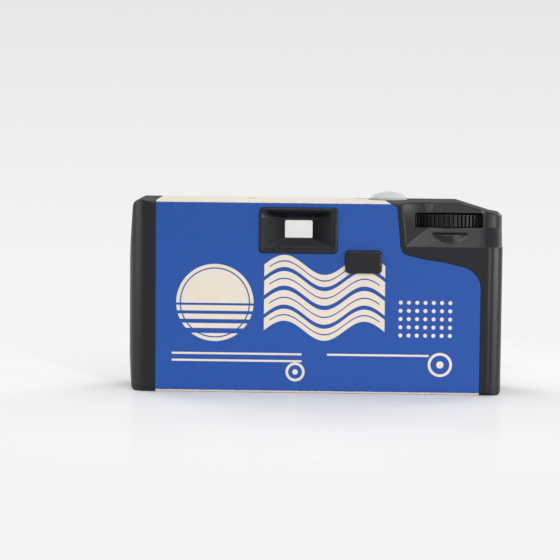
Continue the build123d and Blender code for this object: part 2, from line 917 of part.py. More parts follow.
def body_shell():
    """Both covers in one, with the label's pocket and the thumb recess."""
    outer = body_form(0)
    pocket = (outer - body_form(label_sink + label_thickness)) & label_zone(0)
    outer = outer - pocket - recess_form(0) - recess_end(0)
    inner = body_form(wall) - recess_form(wall) - recess_end(wall)
    bulge_z = (recess_base_z - bulge_inset, bulge_top_z)
    outer += post((cassette_x, cassette_y), bulge_radius, bulge_z) & body_form(0)
    hollow_z = (recess_base_z - overrun, bulge_top_z - bulge_wall)
    inner += post((cassette_x, cassette_y), bulge_radius - bulge_wall, hollow_z)
    shell = outer - inner
    slit_x = about(cassette_x, bulge_slit_width)
    slit_y = (rear_y, rear_y + recess_depth + bulge_slit_depth - bulge_inset)
    shell -= block(slit_x, slit_y, (bulge_top_z, bulge_top_z + bulge_slit))
    slot_place = (cassette_x - slot_shift, (slot_base_z + slot_top_z) / 2)
    slot = rounded(slot_place, slot_width, slot_top_z - slot_base_z, slot_radius)
    return shell - along_y(slot, (rear_y - overrun, cassette_y))


def wheel_space():
    """The room that the turning wheel needs inside the covers."""
    z = (wheel_z[0] - wheel_clear, wheel_z[1] + wheel_clear)
    return post((cassette_x, cassette_y), wheel_radius + wheel_clear, z)


def door_space(gap):
    """The opening under the cassette, or the door in it."""
    x = (door_x[0] + gap, door_x[1] - gap)
    y = (door_y[0] + gap, door_y[1] - gap)
    return block(x, y, (-overrun, wall))


def rear_cover(shell):
    """The rear cover, with the eyepiece, sprocket cover and film pads."""
    half = block((-half_width, half_width), (rear_y - overrun, joint_y), (0, body_height))
    cover = shell & half
    solid, hollow = sprocket_cover()
    cover = cover + eyepiece_outer() + solid - eyepiece_funnel() - hollow
    step = pad_span / (pad_count - 1)
    for number in range(pad_count):
        z = about(film_centre_z - pad_span / 2 + number * step, pad_width)
        y = (inner_rear_y, film_y - film_thickness / 2 - film_gap)
        cover += block((pad_left_x, pad_right_x), y, z)
    return cover - wheel_space() - door_space(0)


def front_cover(shell):
    """The front cover, with the openings for lens, flash, finder and button."""
    half = block((-half_width, half_width), (joint_y, front_y), (0, body_height))
    cover = shell & half
    front = (inner_front_y - overrun, front_y + overrun)
    top = (inner_top_z - overrun, body_height + overrun)
    cover -= barrel(lens_place, surround_neck_radius + lens_fit, front)
    cover -= along_y(finder_front_face(finder_window_margin), front)
    cover -= along_y(flash_face(flash_window_fit), front)
    cover -= along_y(switch_slot_face(0), front)
    cover -= post((button_x, button_y), button_radius + button_fit, top)
    cover -= post((lamp_x, lamp_y), lamp_radius + lamp_fit, top)
    cover -= along_z(window_face(0), top)
    boss_z = (wheel_z[1] + wheel_clear, inner_top_z)
    pin_z = (boss_z[0], wheel_z[1] + wheel_pin_height + wheel_clear)
    cover = cover - wheel_space() + post((cassette_x, cassette_y), wheel_boss_radius, boss_z)
    cover -= post((cassette_x, cassette_y), wheel_pin_radius + pin_play, pin_z)
    return cover - door_space(0)


def cassette_door(shell):
    """The panel under the cassette, with two stiffening ribs."""
    door = shell & door_space(door_gap)
    for share in door_rib_shares:
        middle = door_x[0] + share * (door_x[1] - door_x[0])
        rib_y = about((door_y[0] + door_y[1]) / 2, door_rib_length)
        door += block(about(middle, door_rib), rib_y, (wall, wall + door_rib_height))
    return door


# Inner film frame
def film_frame():
    """The inner moulding that holds the film, the mechanism and the viewfinder."""
    frame_z = (frame_base_z, deck_z + deck_thickness / 2)
    supply = (supply_x, supply_y)
    cassette = (cassette_x, cassette_y)
    open_side = block((-half_width, half_width), (rear_y, open_y), (0, body_height))
    supply_wall = post(supply, supply_bore_radius + frame_wall, frame_z) - post(
        supply, supply_bore_radius, (frame_base_z + frame_wall, deck_z)
    )
    ring_z = (chamber_base_z, chamber_top_z + frame_wall)
    ring_radius = cassette_bore_radius + frame_shell_wall
    cassette_wall = post(cassette, ring_radius, ring_z) - post(
        cassette, cassette_bore_radius, (chamber_base_z, chamber_top_z)
    )
    frame = supply_wall - open_side
    frame += cassette_wall - open_side
    top_plate_z = (chamber_top_z, chamber_top_z + frame_wall)
    frame += post(cassette, cassette_bore_radius - wheel_clear, top_plate_z)
    left_x = supply_x + supply_bore_radius - 2 * frame_wall
    right_x = cassette_x - lip_reach - lip_gap
    frame += block((left_x, right_x), gate_y, frame_z)
    step_y = (open_y, open_y + lip_wall)
    frame += block((right_x - lip_wall, cassette_x - cassette_radius + step_overlap), step_y, frame_z)
    frame += dark_chamber_outer()
    frame += front_board()
    frame += deck()
    frame += battery_bay()
    frame += sprocket_bracket()
    frame += pawl_ear()
    frame -= frame_holes()
    return frame


def dark_chamber_outer():
    """The outside of the tapering chamber between film gate and lens."""
    rear = (gate_width + 2 * dark_wall, gate_height + 2 * dark_wall)
    front = (dark_end_width + 2 * dark_wall, dark_end_height + 2 * dark_wall)
    return tapered(lens_place, (gate_y[0], chamber_front_y[0]), rear, front)


def dark_chamber_inner():
    """The light path from the lens to the film gate."""
    rear = (gate_width, gate_height)
    front = (dark_end_width, dark_end_height)
    path = tapered(lens_place, (gate_y[0], chamber_front_y[0]), rear, front)
    return path + barrel(lens_place, light_hole_radius, (chamber_front_y[0] - overrun, chamber_front_y[1]))


def front_board():
    """The wall at the front of the dark chamber, which the lens board sits on."""
    return block(about(lens_x, 2 * front_wall_half), chamber_front_y, (front_wall_base_z, front_wall_top_z))


def deck():
    """The floor of the mechanism, its posts and pivots, and the viewfinder tunnel."""
    solid = block((deck_left_x, deck_right_x), deck_y, (deck_z, deck_top_z))
    for place in post_places:
        solid += post(place, post_radius, (deck_z, plate_z))
    for place in ((lock_pivot_x, lock_pivot_y), (striker_pivot_x, striker_pivot_y)):
        solid += post(place, pivot_radius, (deck_z, plate_top_z))
    tube = (tunnel_width + 2 * frame_wall, tunnel_height + 2 * frame_wall)
    solid += block(about(lens_x, tube[0]), tunnel_y, about(finder_place[1], tube[1]))
    hole_y = (tunnel_y[0] - overrun, tunnel_y[1] + overrun)
    return solid - block(about(lens_x, tunnel_width), hole_y, about(finder_place[1], tunnel_height))


def battery_bay():
    """The shelf over the battery and the two walls at its ends."""
    shelf_y = (gate_y[1] - frame_wall / 2, chamber_front_y[1])
    bay = block((battery_bay_left_x, battery_bay_right_x), shelf_y, (shelf_z, shelf_z + frame_wall))
    end_y = about(battery_y, 2 * battery_radius)
    end_z = (wall + wheel_clear, shelf_z + frame_wall)
    bay += block((battery_bay_left_x, battery_bay_left_x + bay_wall), end_y, end_z)
    return bay + block((battery_bay_right_x - bay_wall, battery_bay_right_x), end_y, end_z)


def sprocket_bracket():
    """The lower bearing of the sprocket shaft."""
    y = (gate_y[1] - frame_wall / 2, gate_y[1] + bearing_reach)
    return block(about(sprocket_x, 2 * bearing_half), y, (bearing_base_z, bearing_base_z + bearing_height))


def pawl_ear():
    """The ear beside the cassette chamber with the pawl's pin."""
    ear_z = (chamber_top_z, chamber_top_z + frame_wall)
    place = (pawl_x, pawl_y)
    reach = cassette_x - cassette_bore_radius / 2
    ear_y = (pawl_y - 2 * pawl_ear_half, pawl_y + pawl_hub_radius)
    ear = block((pawl_x - pawl_ear_half, reach), ear_y, ear_z)
    ear_radius = math.hypot(cassette_x - pawl_x + pawl_ear_half, pawl_y + pawl_ear_half)
    ear &= post((cassette_x, cassette_y), ear_radius, ear_z)
    return ear + post(place, pawl_pin_radius, (ear_z[0], pawl_base_z + pawl_thickness + lever_lift / 2))


def frame_holes():
    """What is open in the film frame: light path, shaft holes and clearances."""
    cuts = dark_chamber_inner()
    clear_z = (drum_z[0] - drum_gap, drum_z[1] + drum_gap)
    sweep = drum_radius + sprocket_tooth_out + sprocket_clear
    cuts += post((sprocket_x, sprocket_y), sweep, clear_z)
    bearing = shaft_radius + pin_play
    cuts += post((sprocket_x, sprocket_y), bearing, (bearing_base_z, body_height))
    supply_hole = supply_pin_radius + pin_play
    cuts += post((supply_x, supply_y), supply_hole, (frame_base_z, deck_top_z))
    hub_hole = wheel_hub_radius + pin_play
    cuts += post((cassette_x, cassette_y), hub_hole, (chamber_top_z, bulge_top_z))
    for place in post_places:
        cuts += post(place, screw_radius + pin_play, (plate_top_z - screw_length - overrun, plate_z))
    rear_size = (eyepiece_width + 2 * finder_fit, eyepiece_height + 2 * finder_fit)
    end_width = eyepiece_hole_width + 2 * (eyepiece_wall + finder_fit)
    end_height = eyepiece_hole_height + 2 * (eyepiece_wall + finder_fit)
    funnel_y = (rear_y, rear_y + eyepiece_depth + finder_fit)
    cuts += tapered((lens_x, eyepiece_z), funnel_y, rear_size, (end_width, end_height))
    return cuts


# Film
def cassette_shell():
    """The cassette's rolled sheet with the two lips that the film leaves by."""
    z = (cassette_z[0] + cap_thickness, cassette_z[1] - cap_thickness)
    axis = (cassette_x, cassette_y)
    lip_y = about(film_y, lip_outer)
    lip_x = (cassette_x - lip_reach, cassette_x)
    shell = post(axis, cassette_radius, z) + block(lip_x, lip_y, z)
    shell -= post(axis, cassette_radius - cassette_sheet, z)
    slot_x = (lip_x[0] - overrun, cassette_x - spool_core_radius)
    slot_y = about(film_y, lip_slot)
    shell -= block(slot_x, slot_y, z)
    return shell


def cassette_cap(z):
    """One end cap of the cassette."""
    axis = (cassette_x, cassette_y)
    return post(axis, cassette_radius, z) - post(axis, cap_hole_radius, z)


def cassette_spool():
    """The cassette's spool, with the fork that the wheel's key drives."""
    axis = (cassette_x, cassette_y)
    top_z = cassette_z[1]
    spool = post(axis, spool_core_radius, cassette_z)
    spool += post(axis, spool_end_radius, (cassette_z[0] - spool_drop, cassette_z[0] + 2 * cap_thickness))
    spool += post(axis, spool_end_radius, (top_z - spool_fork_depth - cap_thickness, top_z))
    fork_z = (top_z - spool_fork_depth, top_z)
    spool -= post(axis, spool_fork_radius, fork_z)
    tooth = block(about(cassette_x, spool_fork_width), about(cassette_y, 2 * spool_fork_radius), fork_z)
    gap = about(cassette_y, spool_fork_radius)
    return spool + (tooth - block(about(cassette_x, spool_fork_width), gap, fork_z))


def film_strip():
    """The film from the roll to the cassette, with both rows of perforations."""
    end_x = cassette_x - film_end_dx
    strip = block((supply_x, end_x), about(film_y, film_thickness), film_z)
    low = math.ceil((supply_x + perforation_pitch / 2 - sprocket_x) / perforation_pitch)
    high = math.floor((end_x - perforation_pitch / 2 - sprocket_x) / perforation_pitch)
    y = about(film_y, film_thickness + film_gap)
    rows = (perforation_z, 2 * film_centre_z - perforation_z)
    holes = []
    for number in range(low, high + 1):
        x = about(sprocket_x + number * perforation_pitch, perforation_width)
        for row in rows:
            holes.append(block(x, y, about(row, perforation_height)))
    return strip - holes


def film_roll():
    """The unexposed film, wound beforehand on the supply spool."""
    axis = (supply_x, supply_y)
    return post(axis, roll_radius, film_z) - post(axis, supply_core_radius + pin_play, film_z)


def supply_spool():
    """The core that the unexposed film is wound on, with its two pins."""
    axis = (supply_x, supply_y)
    core_z = (frame_base_z + frame_wall + wheel_clear, deck_z - wheel_clear)
    pin_z = (frame_base_z + pin_play, deck_top_z - pin_play)
    return post(axis, supply_core_radius, core_z) + post(axis, supply_pin_radius, pin_z)


# Mechanism
def sprocket_shaft():
    """The film-driven shaft: eight teeth, a notched cam and the counter's tooth."""
    place = (sprocket_x, sprocket_y)
    shaft = post(place, shaft_radius, (bearing_base_z + shaft_end_gap, shaft_top_z))
    shaft += post(place, drum_radius, drum_z)
    tip = drum_radius + sprocket_tooth_out
    root = drum_radius - sprocket_tooth_out
    half = sprocket_tooth_width / 2
    flank = ((root, -half), (drum_radius, -half), (tip, -half / 2))
    profile = outline(flank + tuple((x, -y) for x, y in reversed(flank)))
    tooth = along_z(profile, about(perforation_z, sprocket_tooth_height))
    for number in range(sprocket_teeth):
        turn = 360 * number / sprocket_teeth - 90
        shaft += Pos(*place) * Rot(0, 0, turn) * tooth
    cam = post(place, cam_radius, lever_z)
    notch_x = about(sprocket_x, cam_notch)
    cam -= block(notch_x, (sprocket_y - cam_radius - overrun, sprocket_y - shaft_radius - pin_play), lever_z)
    reach = math.hypot(counter_x - sprocket_x, counter_y - sprocket_y) - counter_radius - counter_tooth_gap
    drive = block(about(sprocket_x, counter_tooth_width), (sprocket_y - reach, sprocket_y), counter_z)
    return shaft + cam + drive


def lock_lever():
    """The lever that rides on the cam and blocks the wheel with its hook."""
    pivot = (lock_pivot_x, lock_pivot_y)
    hook = (lock_hook_x, lock_hook_y)
    face = bar(pivot, (lock_tip_x, lock_tip_y), 2 * lock_tip_radius)
    face += bar(pivot, hook, lever_width)
    face += bar(pivot, (button_x, lock_pad_y), lever_width)
    face += Pos(*pivot) * Circle(lever_hub_radius)
    lever = along_z(face, lever_z)
    lever += post(hook, lock_post_radius, (lever_z[0], lock_nose_top_z))
    away = math.hypot(cassette_x - lock_hook_x, cassette_y - lock_hook_y)
    nose_share = 1 - (wheel_radius + lock_nose_gap + lock_post_radius / 2) / away
    nose_x = lock_hook_x + nose_share * (cassette_x - lock_hook_x)
    nose_y = lock_hook_y + nose_share * (cassette_y - lock_hook_y)
    nose = bar(hook, (nose_x, nose_y), lock_post_radius)
    lever += along_z(nose, (lock_nose_base_z, lock_nose_top_z))
    return lever - post(pivot, pivot_radius + pin_play, lever_z)


def striker_lever():
    """The sprung lever whose finger hits the shutter blade's tail."""
    pivot = (striker_pivot_x, striker_pivot_y)
    finger = (striker_pivot_x, striker_pivot_y + striker_reach)
    face = bar(pivot, finger, 2 * striker_finger_radius)
    face += bar(pivot, (striker_tail_x, striker_tail_y), lever_width)
    face += Pos(*pivot) * Circle(lever_hub_radius)
    lever = along_z(face, lever_z)
    lever += post(finger, striker_finger_radius, (striker_finger_base_z, lever_z[1]))
    return lever - post(pivot, pivot_radius + pin_play, lever_z)


def mechanism_plate():
    """The plate over the levers, with the counter's pin."""
    y = (rear_y + plate_rear_inset, front_y - plate_front_inset)
    plate = block((plate_left_x, plate_right_x), y, (plate_z, plate_top_z))
    pin_z = (plate_z, counter_z[1] + counter_lift / 2)
    plate += post((counter_x, counter_y), counter_pin_radius, pin_z)
    plate -= post((sprocket_x, sprocket_y), shaft_radius + pin_play, (plate_z, plate_top_z))
    plate -= post((button_x, button_y), button_stem_radius + pin_play * 2, (plate_z, plate_top_z))
    plate -= post((lock_hook_x, lock_hook_y), lock_post_radius + lock_swing, (plate_z, plate_top_z))
    for place in ((lock_pivot_x, lock_pivot_y), (striker_pivot_x, striker_pivot_y)):
        plate -= post(place, pivot_radius + pin_play, (plate_z, plate_top_z))
    for place in post_places:
        plate -= post(place, screw_radius + pin_play, (plate_z, plate_top_z))
        plate -= post(place, screw_head_radius + pin_play, (plate_top_z - screw_head_height, plate_top_z))
    return plate


def plate_screws():
    """The three screws of the mechanism plate, sunk flush."""
    screws = []
    for place in post_places:
        head_z = (plate_top_z - screw_head_height + pin_play, plate_top_z)
        shank = post(place, screw_radius, (plate_top_z - screw_length, plate_top_z))
        screws.append(shank + post(place, screw_head_radius, head_z))
    return Compound(children=screws)


def counter_disc():
    """The toothed disc that carries the frame numbers."""
    place = (counter_x, counter_y)
    root = counter_radius - counter_tooth_depth
    disc = post(place, root, counter_z)
    half = math.pi * root / counter_teeth / 2
    flank = ((root - half, -half), (counter_radius, -half / 2))
    profile = outline(flank + tuple((x, -y) for x, y in reversed(flank)))
    tooth = along_z(profile, counter_z)
    for number in range(counter_teeth):
        disc += Pos(*place) * Rot(0, 0, 360 * number / counter_teeth) * tooth
    return disc - post(place, counter_pin_radius + pin_play, counter_z)


def counter_window():
    """The clear plug over the frame numbers, held by a flange under the top wall."""
    top_z = body_height - label_sink
    plug = along_z(window_face(-button_fit / 2), (inner_top_z - window_drop / 2, top_z))
    return plug + along_z(window_face(window_flange), (inner_top_z - window_drop / 2, inner_top_z - pin_play))


def shutter_button():
    """The domed button and its stem."""
    place = (button_x, button_y)
    rim_z = body_height + button_rise
    button = post(place, button_radius, (button_skirt_z, rim_z))
    sphere_radius = (button_radius**2 + button_dome**2) / (2 * button_dome)
    dome = Pos(button_x, button_y, rim_z + button_dome - sphere_radius) * Sphere(sphere_radius)
    button += dome & post(place, button_radius, (rim_z, rim_z + button_dome))
    return button + post(place, button_stem_radius, (button_stem_base_z, rim_z))


def button_spring():
    """The coil spring under the button, as the sleeve that it fills."""
    place = (button_x, button_y)
    z = (plate_top_z + spring_gap, button_skirt_z - spring_gap)
    return post(place, spring_radius, z) - post(place, spring_radius - spring_wire, z)


def thumb_wheel():
    """The toothed wheel, with the hub and key that turn the cassette's spool."""
    axis = (cassette_x, cassette_y)
    root = wheel_radius - wheel_tooth_depth
    rim = post(axis, root, wheel_z)
    web_z = (wheel_z[0] + wheel_web, wheel_z[1])
    rim -= post(axis, root - wheel_rim, web_z)
    half = math.pi * root / wheel_teeth / 2
    flank = ((root - half, -half - wheel_tooth_flare), (wheel_radius, -half / 2))
    profile = outline(flank + tuple((x, -y) for x, y in reversed(flank)))
    tooth = along_z(profile, wheel_z)
    teeth = [Pos(*axis) * Rot(0, 0, 360 * number / wheel_teeth) * tooth for number in range(wheel_teeth)]
    wheel = rim + teeth
    wheel += post(axis, wheel_hub_radius, (cassette_z[1] + wheel_hub_gap, wheel_z[1]))
    wheel += post(axis, wheel_pin_radius, (wheel_z[1], wheel_z[1] + wheel_pin_height))
    key_x = about(cassette_x, 2 * wheel_key_half)
    key_z = (cassette_z[1] - wheel_key_depth, wheel_z[0])
    return wheel + block(key_x, about(cassette_y, wheel_key_width), key_z)


def wheel_pawl():
    """The pawl that lets the wheel turn one way only."""
    pivot = (pawl_x, pawl_y)
    turn = 2 * math.pi * (pawl_gap_number + 0.5) / wheel_teeth
    tip_reach = wheel_radius + pawl_tip_gap + pawl_width / 2
    tip = (cassette_x + tip_reach * math.cos(turn), cassette_y + tip_reach * math.sin(turn))
    face = bar(pivot, tip, pawl_width) + Pos(*pivot) * Circle(pawl_hub_radius)
    z = (pawl_base_z, pawl_base_z + pawl_thickness)
    return along_z(face, z) - post(pivot, pawl_pin_radius + pin_play, z)


# Lens and shutter
def shutter_blade():
    """The thin blade over the stop, with the tail that the striker hits."""
    tail = (blade_pivot[0] + blade_tail_dx, blade_pivot[1] + blade_tail_dz)
    face = bar(blade_pivot, lens_place, blade_arm_width) + bar(blade_pivot, tail, blade_arm_width)
    face += Pos(*lens_place) * Circle(blade_cover_radius)
    face += Pos(*blade_pivot) * Circle(blade_hub_radius)
    face -= Pos(*blade_pivot) * Circle(blade_pin_radius + pin_play)
    return along_y(face, blade_y)


def lens_board():
    """The board with the stop, the lens seat, three feet and the blade's pin."""
    x = (lens_x + board_left_dx, lens_x + board_right_dx)
    z = (film_centre_z + board_base_dz, film_centre_z + board_top_dz)
    board = block(x, board_y, z)
    foot_y = (chamber_front_y[1], board_y[1])
    for side, level in ((-1, -1), (-1, 1), (1, -1)):
        place = (lens_x + side * board_foot_dx, film_centre_z + level * board_foot_dz)
        board += barrel(place, board_foot_radius, foot_y)
    board += barrel(blade_pivot, blade_pin_radius, foot_y)
    board -= barrel(lens_place, stop_radius, board_y)
    return board - barrel(lens_place, lens_radius + lens_fit, (board_y[0] + stop_land, board_y[1]))


def taking_lens():
    """The single moulded lens, convex to the front."""
    seat = board_y[0] + stop_land
    front = seat + lens_thickness
    curve = (lens_radius**2 + lens_crown**2) / (2 * lens_crown)
    ball = Pos(lens_x, front - curve, film_centre_z) * Sphere(curve)
    return barrel(lens_place, lens_radius, (seat, front)) & ball


def lens_surround():
    """The raised ring with the stepped cone down to the lens."""
    neck_y = (board_y[1] + surround_gap, front_y)
    ring = barrel(lens_place, surround_radius, (front_y, front_y + surround_out))
    ring = chamfer(ring.faces().sort_by(Axis.Y)[-1].edges(), surround_bevel)
    ring += barrel(lens_place, surround_neck_radius, neck_y)
    depth = front_y + surround_out - neck_y[0]
    cone = Cone(surround_throat_radius, surround_mouth_radius, depth - surround_step)
    middle_y = neck_y[0] + (depth + surround_step) / 2
    cone = Pos(lens_x, middle_y, film_centre_z) * Rot(-90, 0, 0) * cone
    throat_y = (neck_y[0], neck_y[0] + 2 * surround_step)
    return ring - cone - barrel(lens_place, surround_throat_radius, throat_y)


# Viewfinder
def finder_lens(margin, y):
    """A flat viewfinder lens a little larger than the opening it covers."""
    width = eyepiece_hole_width + 2 * margin
    height = eyepiece_hole_height + 2 * margin
    return block(about(lens_x, width), y, about(eyepiece_z, height))


def viewfinder_rear_lens():
    """The small clear window at the bottom of the eyepiece's funnel."""
    start = rear_y + eyepiece_depth + film_gap
    return finder_lens(finder_rear_margin, (start, start + finder_lens_thickness))


def viewfinder_front_lens():
    """The larger front lens, with its hollow front face."""
    start = tunnel_y[1] + finder_lens_gap
    y = (start, inner_front_y - finder_lens_gap)
    width = tunnel_width + 2 * finder_front_margin
    height = tunnel_height + 2 * finder_front_margin
    lens = block(about(lens_x, width), y, about(finder_place[1], height))
    hollow = ((width / 2) ** 2 + finder_lens_thickness**2) / (2 * finder_lens_thickness)
    ball = Pos(lens_x, y[1] + hollow - finder_lens_thickness, finder_place[1]) * Sphere(hollow)
    return lens - ball


# Flash
def flash_window():
    """The clear cover of the flash, stepped behind the front wall."""
    plug = along_y(flash_face(0), (inner_front_y - flash_window_thickness, front_y - label_sink))
    flange_y = (inner_front_y - flash_window_thickness, inner_front_y - flash_window_fit)
    return plug + along_y(flash_face(flash_window_margin), flange_y)


def flash_reflector():
    """The bright trough behind the flash window."""
    front = inner_front_y - flash_window_thickness - flash_window_fit
    rear = front - flash_depth
    size = (flash_width, flash_height)
    throat_width = flash_width - 2 * flash_side_slope
    body = tapered((flash_x, flash_z), (rear, front), (throat_width, flash_throat_height), size)
    inner_rear = rear + flash_wall
    throat = (throat_width - 2 * flash_wall, flash_throat_height - 2 * flash_wall)
    mouth = (size[0] - 2 * flash_wall, size[1] - 2 * flash_wall)
    body -= tapered((flash_x, flash_z), (inner_rear, front), throat, mouth)
    tube_y = inner_rear + tube_back
    tube_x = about(flash_x, flash_width + 2 * tube_overhang)
    return body - roller((tube_y, flash_z), tube_radius + tube_play, tube_x)


def flash_tube():
    """The glass tube of the flash across the reflector."""
    tube_y = inner_front_y - flash_window_thickness - flash_window_fit - flash_depth + flash_wall + tube_back
    return roller((tube_y, flash_z), tube_radius, about(flash_x, flash_width + 2 * tube_overhang))


def capacitor():
    """The flash capacitor, lying over the supply chamber."""
    axis = (capacitor_y, capacitor_z)
    end_x = capacitor_left_x + capacitor_length
    can = roller(axis, capacitor_radius, (capacitor_left_x, end_x))
    groove = roller(axis, capacitor_radius, (end_x - 2 * capacitor_step, end_x - capacitor_step))
    core = roller(axis, capacitor_radius - capacitor_groove, (capacitor_left_x, end_x))
    return can - (groove - core)


def circuit_board():
    """The flash's board, upright in front of the supply chamber."""
    rear = supply_y + supply_bore_radius + frame_wall + board_rear_gap
    board = block(board_x, (rear, rear + board_sheet), board_z)
    notch_x = (board_x[1] - board_notch, board_x[1])
    corner = block(notch_x, (rear, rear + board_sheet), (board_z[0], board_z[0] + board_notch))
    return board - corner


def board_front():
    """The front face of the circuit board."""
    return supply_y + supply_bore_radius + frame_wall + board_rear_gap + board_sheet


def transformer():
    """The flash's transformer: a core between two flanges."""
    y = (board_front(), board_front() + transformer_depth)
    core = block(about(transformer_x, transformer_width), y, about(transformer_z, transformer_height))
    waist_z = about(transformer_z, transformer_height / 2)
    waist = transformer_width - 2 * transformer_waist
    sides = block(about(transformer_x, transformer_width), y, waist_z)
    return core - (sides - block(about(transformer_x, waist), y, waist_z))


def board_parts():
    """The small parts on the circuit board: resistors and a trigger coil."""
    y = board_front() + resistor_radius
    parts = []
    for number in range(resistor_count):
        z = resistor_z + number * resistor_pitch
        parts.append(roller((y, z), resistor_radius, about(resistor_x, resistor_length)))
    coil_y = (board_front(), board_front() + coil_height)
    parts.append(barrel((coil_x - board_notch, coil_z), coil_radius, coil_y))
    return Compound(children=parts)


def battery():
    """The single cell, with its raised end to the right."""
    axis = (battery_y, battery_z)
    end_x = battery_left_x + battery_length
    cell = roller(axis, battery_radius, (battery_left_x, end_x))
    return cell + roller(axis, battery_nub_radius, (end_x, end_x + battery_nub_height))


def battery_contacts():
    """The two spring strips at the battery's ends."""
    left_x = battery_bay_left_x + bay_wall
    right_x = battery_bay_right_x - bay_wall
    z = about(battery_z, contact_height)
    strips = []
    nub_x = battery_left_x + battery_length + battery_nub_height
    for x in ((left_x, battery_left_x - contact_gap), (nub_x + contact_gap, right_x)):
        strip = block(x, about(battery_y, contact_width), z)
        hollow_z = (z[0] + contact_sheet, z[1] - contact_sheet)
        hollow_x = (x[0] + contact_sheet, x[1] - contact_sheet)
        strip -= block(hollow_x, about(battery_y, contact_width), hollow_z)
        strips.append(strip)
    return Compound(children=strips)


def flash_switch():
    """The ribbed slide on the front that charges the flash."""
    place = (switch_x, switch_z)
    knob_face = rounded(place, switch_knob_width, switch_knob_height, switch_corner_radius)
    knob = along_y(knob_face, (front_y + switch_fit, front_y + switch_fit + switch_knob_out))
    pitch = switch_knob_height / (switch_rib_count + 1)
    for number in range(switch_rib_count):
        z = switch_z - switch_knob_height / 2 + (number + 1) * pitch
        groove_y = (front_y + switch_fit + switch_knob_out - switch_rib, front_y + surround_out)
        knob -= block(about(switch_x, switch_knob_width), groove_y, about(z, switch_rib))
    neck_face = rounded(place, switch_neck_width, switch_neck_height, switch_corner_radius)
    neck = along_y(neck_face, (inner_front_y - switch_fit, front_y + switch_fit))
    plate_y = (inner_front_y - switch_fit - switch_plate_thickness, inner_front_y - switch_fit)
    width = switch_neck_width + 2 * switch_plate_margin
    height = switch_neck_height + 2 * switch_plate_margin
    return knob + neck + block(about(switch_x, width), plate_y, about(switch_z, height))


def ready_lamp():
    """The light pipe from the lamp to the top of the camera."""
    place = (lamp_x, lamp_y)
    foot_z = (deck_top_z + pin_play, deck_top_z + lamp_foot_height)
    stem = post(place, lamp_radius, (foot_z[0], body_height - label_sink))
    return stem + post(place, lamp_foot_radius, foot_z)


def sync_contact():
    """The thin strip that the blade closes to fire the flash."""
    y = (chamber_front_y[1], chamber_front_y[1] + sync_sheet)
    strip = block(about(sync_x, sync_length / 2), y, about(sync_z, sync_width))
    foot_y = (y[0], y[1] + blade_gap)
    return strip + block(about(sync_x, sync_width), foot_y, about(sync_z, sync_width))


def build():
    """Every node of the camera, by name."""
    shell = body_shell()
    low_cap = (cassette_z[0], cassette_z[0] + cap_thickness)
    high_cap = (cassette_z[1] - cap_thickness, cassette_z[1])
    return {
        "front_cover": front_cover(shell),
        "rear_cover": rear_cover(shell),
        "cassette_door": cassette_door(shell),
        "wrap_label": wrap_label(),
        "film_frame": film_frame(),
        "cassette_shell": cassette_shell(),
        "cassette_top_cap": cassette_cap(high_cap),
        "cassette_bottom_cap": cassette_cap(low_cap),
        "cassette_spool": cassette_spool(),
        "film_strip": film_strip(),
        "film_roll": film_roll(),
        "supply_spool": supply_spool(),
        "sprocket_shaft": sprocket_shaft(),
        "lock_lever": lock_lever(),
        "striker_lever": striker_lever(),
        "mechanism_plate": mechanism_plate(),
        "plate_screws": plate_screws(),
        "counter_disc": counter_disc(),
        "counter_window": counter_window(),
        "shutter_button": shutter_button(),
        "button_spring": button_spring(),
        "thumb_wheel": thumb_wheel(),
        "wheel_pawl": wheel_pawl(),
        "shutter_blade": shutter_blade(),
        "lens_board": lens_board(),
        "taking_lens": taking_lens(),
        "lens_surround": lens_surround(),
        "viewfinder_rear_lens": viewfinder_rear_lens(),
        "viewfinder_front_lens": viewfinder_front_lens(),
        "flash_window": flash_window(),
        "flash_reflector": flash_reflector(),
        "flash_tube": flash_tube(),
        "capacitor": capacitor(),
        "circuit_board": circuit_board(),
        "transformer": transformer(),
        "board_parts": board_parts(),
        "battery": battery(),
        "battery_contacts": battery_contacts(),
        "flash_switch": flash_switch(),
        "ready_lamp": ready_lamp(),
        "sync_contact": sync_contact(),
    }


for name, shape in build().items():
    export_step(shape, "parts/" + name + ".step")
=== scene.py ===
"""The finish, light and view of a single-use film camera, seen from behind."""

import math

import bmesh
import bpy
from mathutils import Matrix, Vector

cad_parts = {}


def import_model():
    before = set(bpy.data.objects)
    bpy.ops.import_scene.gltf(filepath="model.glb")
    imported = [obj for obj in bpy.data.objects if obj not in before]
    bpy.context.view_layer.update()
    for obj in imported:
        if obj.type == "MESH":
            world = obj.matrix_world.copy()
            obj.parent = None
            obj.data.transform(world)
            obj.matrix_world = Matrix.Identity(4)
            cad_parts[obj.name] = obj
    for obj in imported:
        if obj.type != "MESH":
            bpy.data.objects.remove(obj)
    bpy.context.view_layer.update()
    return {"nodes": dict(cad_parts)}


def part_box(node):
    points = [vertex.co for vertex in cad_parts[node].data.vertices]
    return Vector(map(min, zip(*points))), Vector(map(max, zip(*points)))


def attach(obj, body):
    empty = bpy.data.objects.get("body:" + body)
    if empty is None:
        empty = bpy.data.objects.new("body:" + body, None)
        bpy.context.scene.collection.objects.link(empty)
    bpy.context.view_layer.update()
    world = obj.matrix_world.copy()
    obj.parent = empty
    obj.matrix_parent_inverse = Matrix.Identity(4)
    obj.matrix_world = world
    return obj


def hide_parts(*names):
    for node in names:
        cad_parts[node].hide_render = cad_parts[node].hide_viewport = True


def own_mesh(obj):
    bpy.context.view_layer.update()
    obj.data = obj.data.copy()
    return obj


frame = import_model()

MM = 0.001
NODES = frame["nodes"]

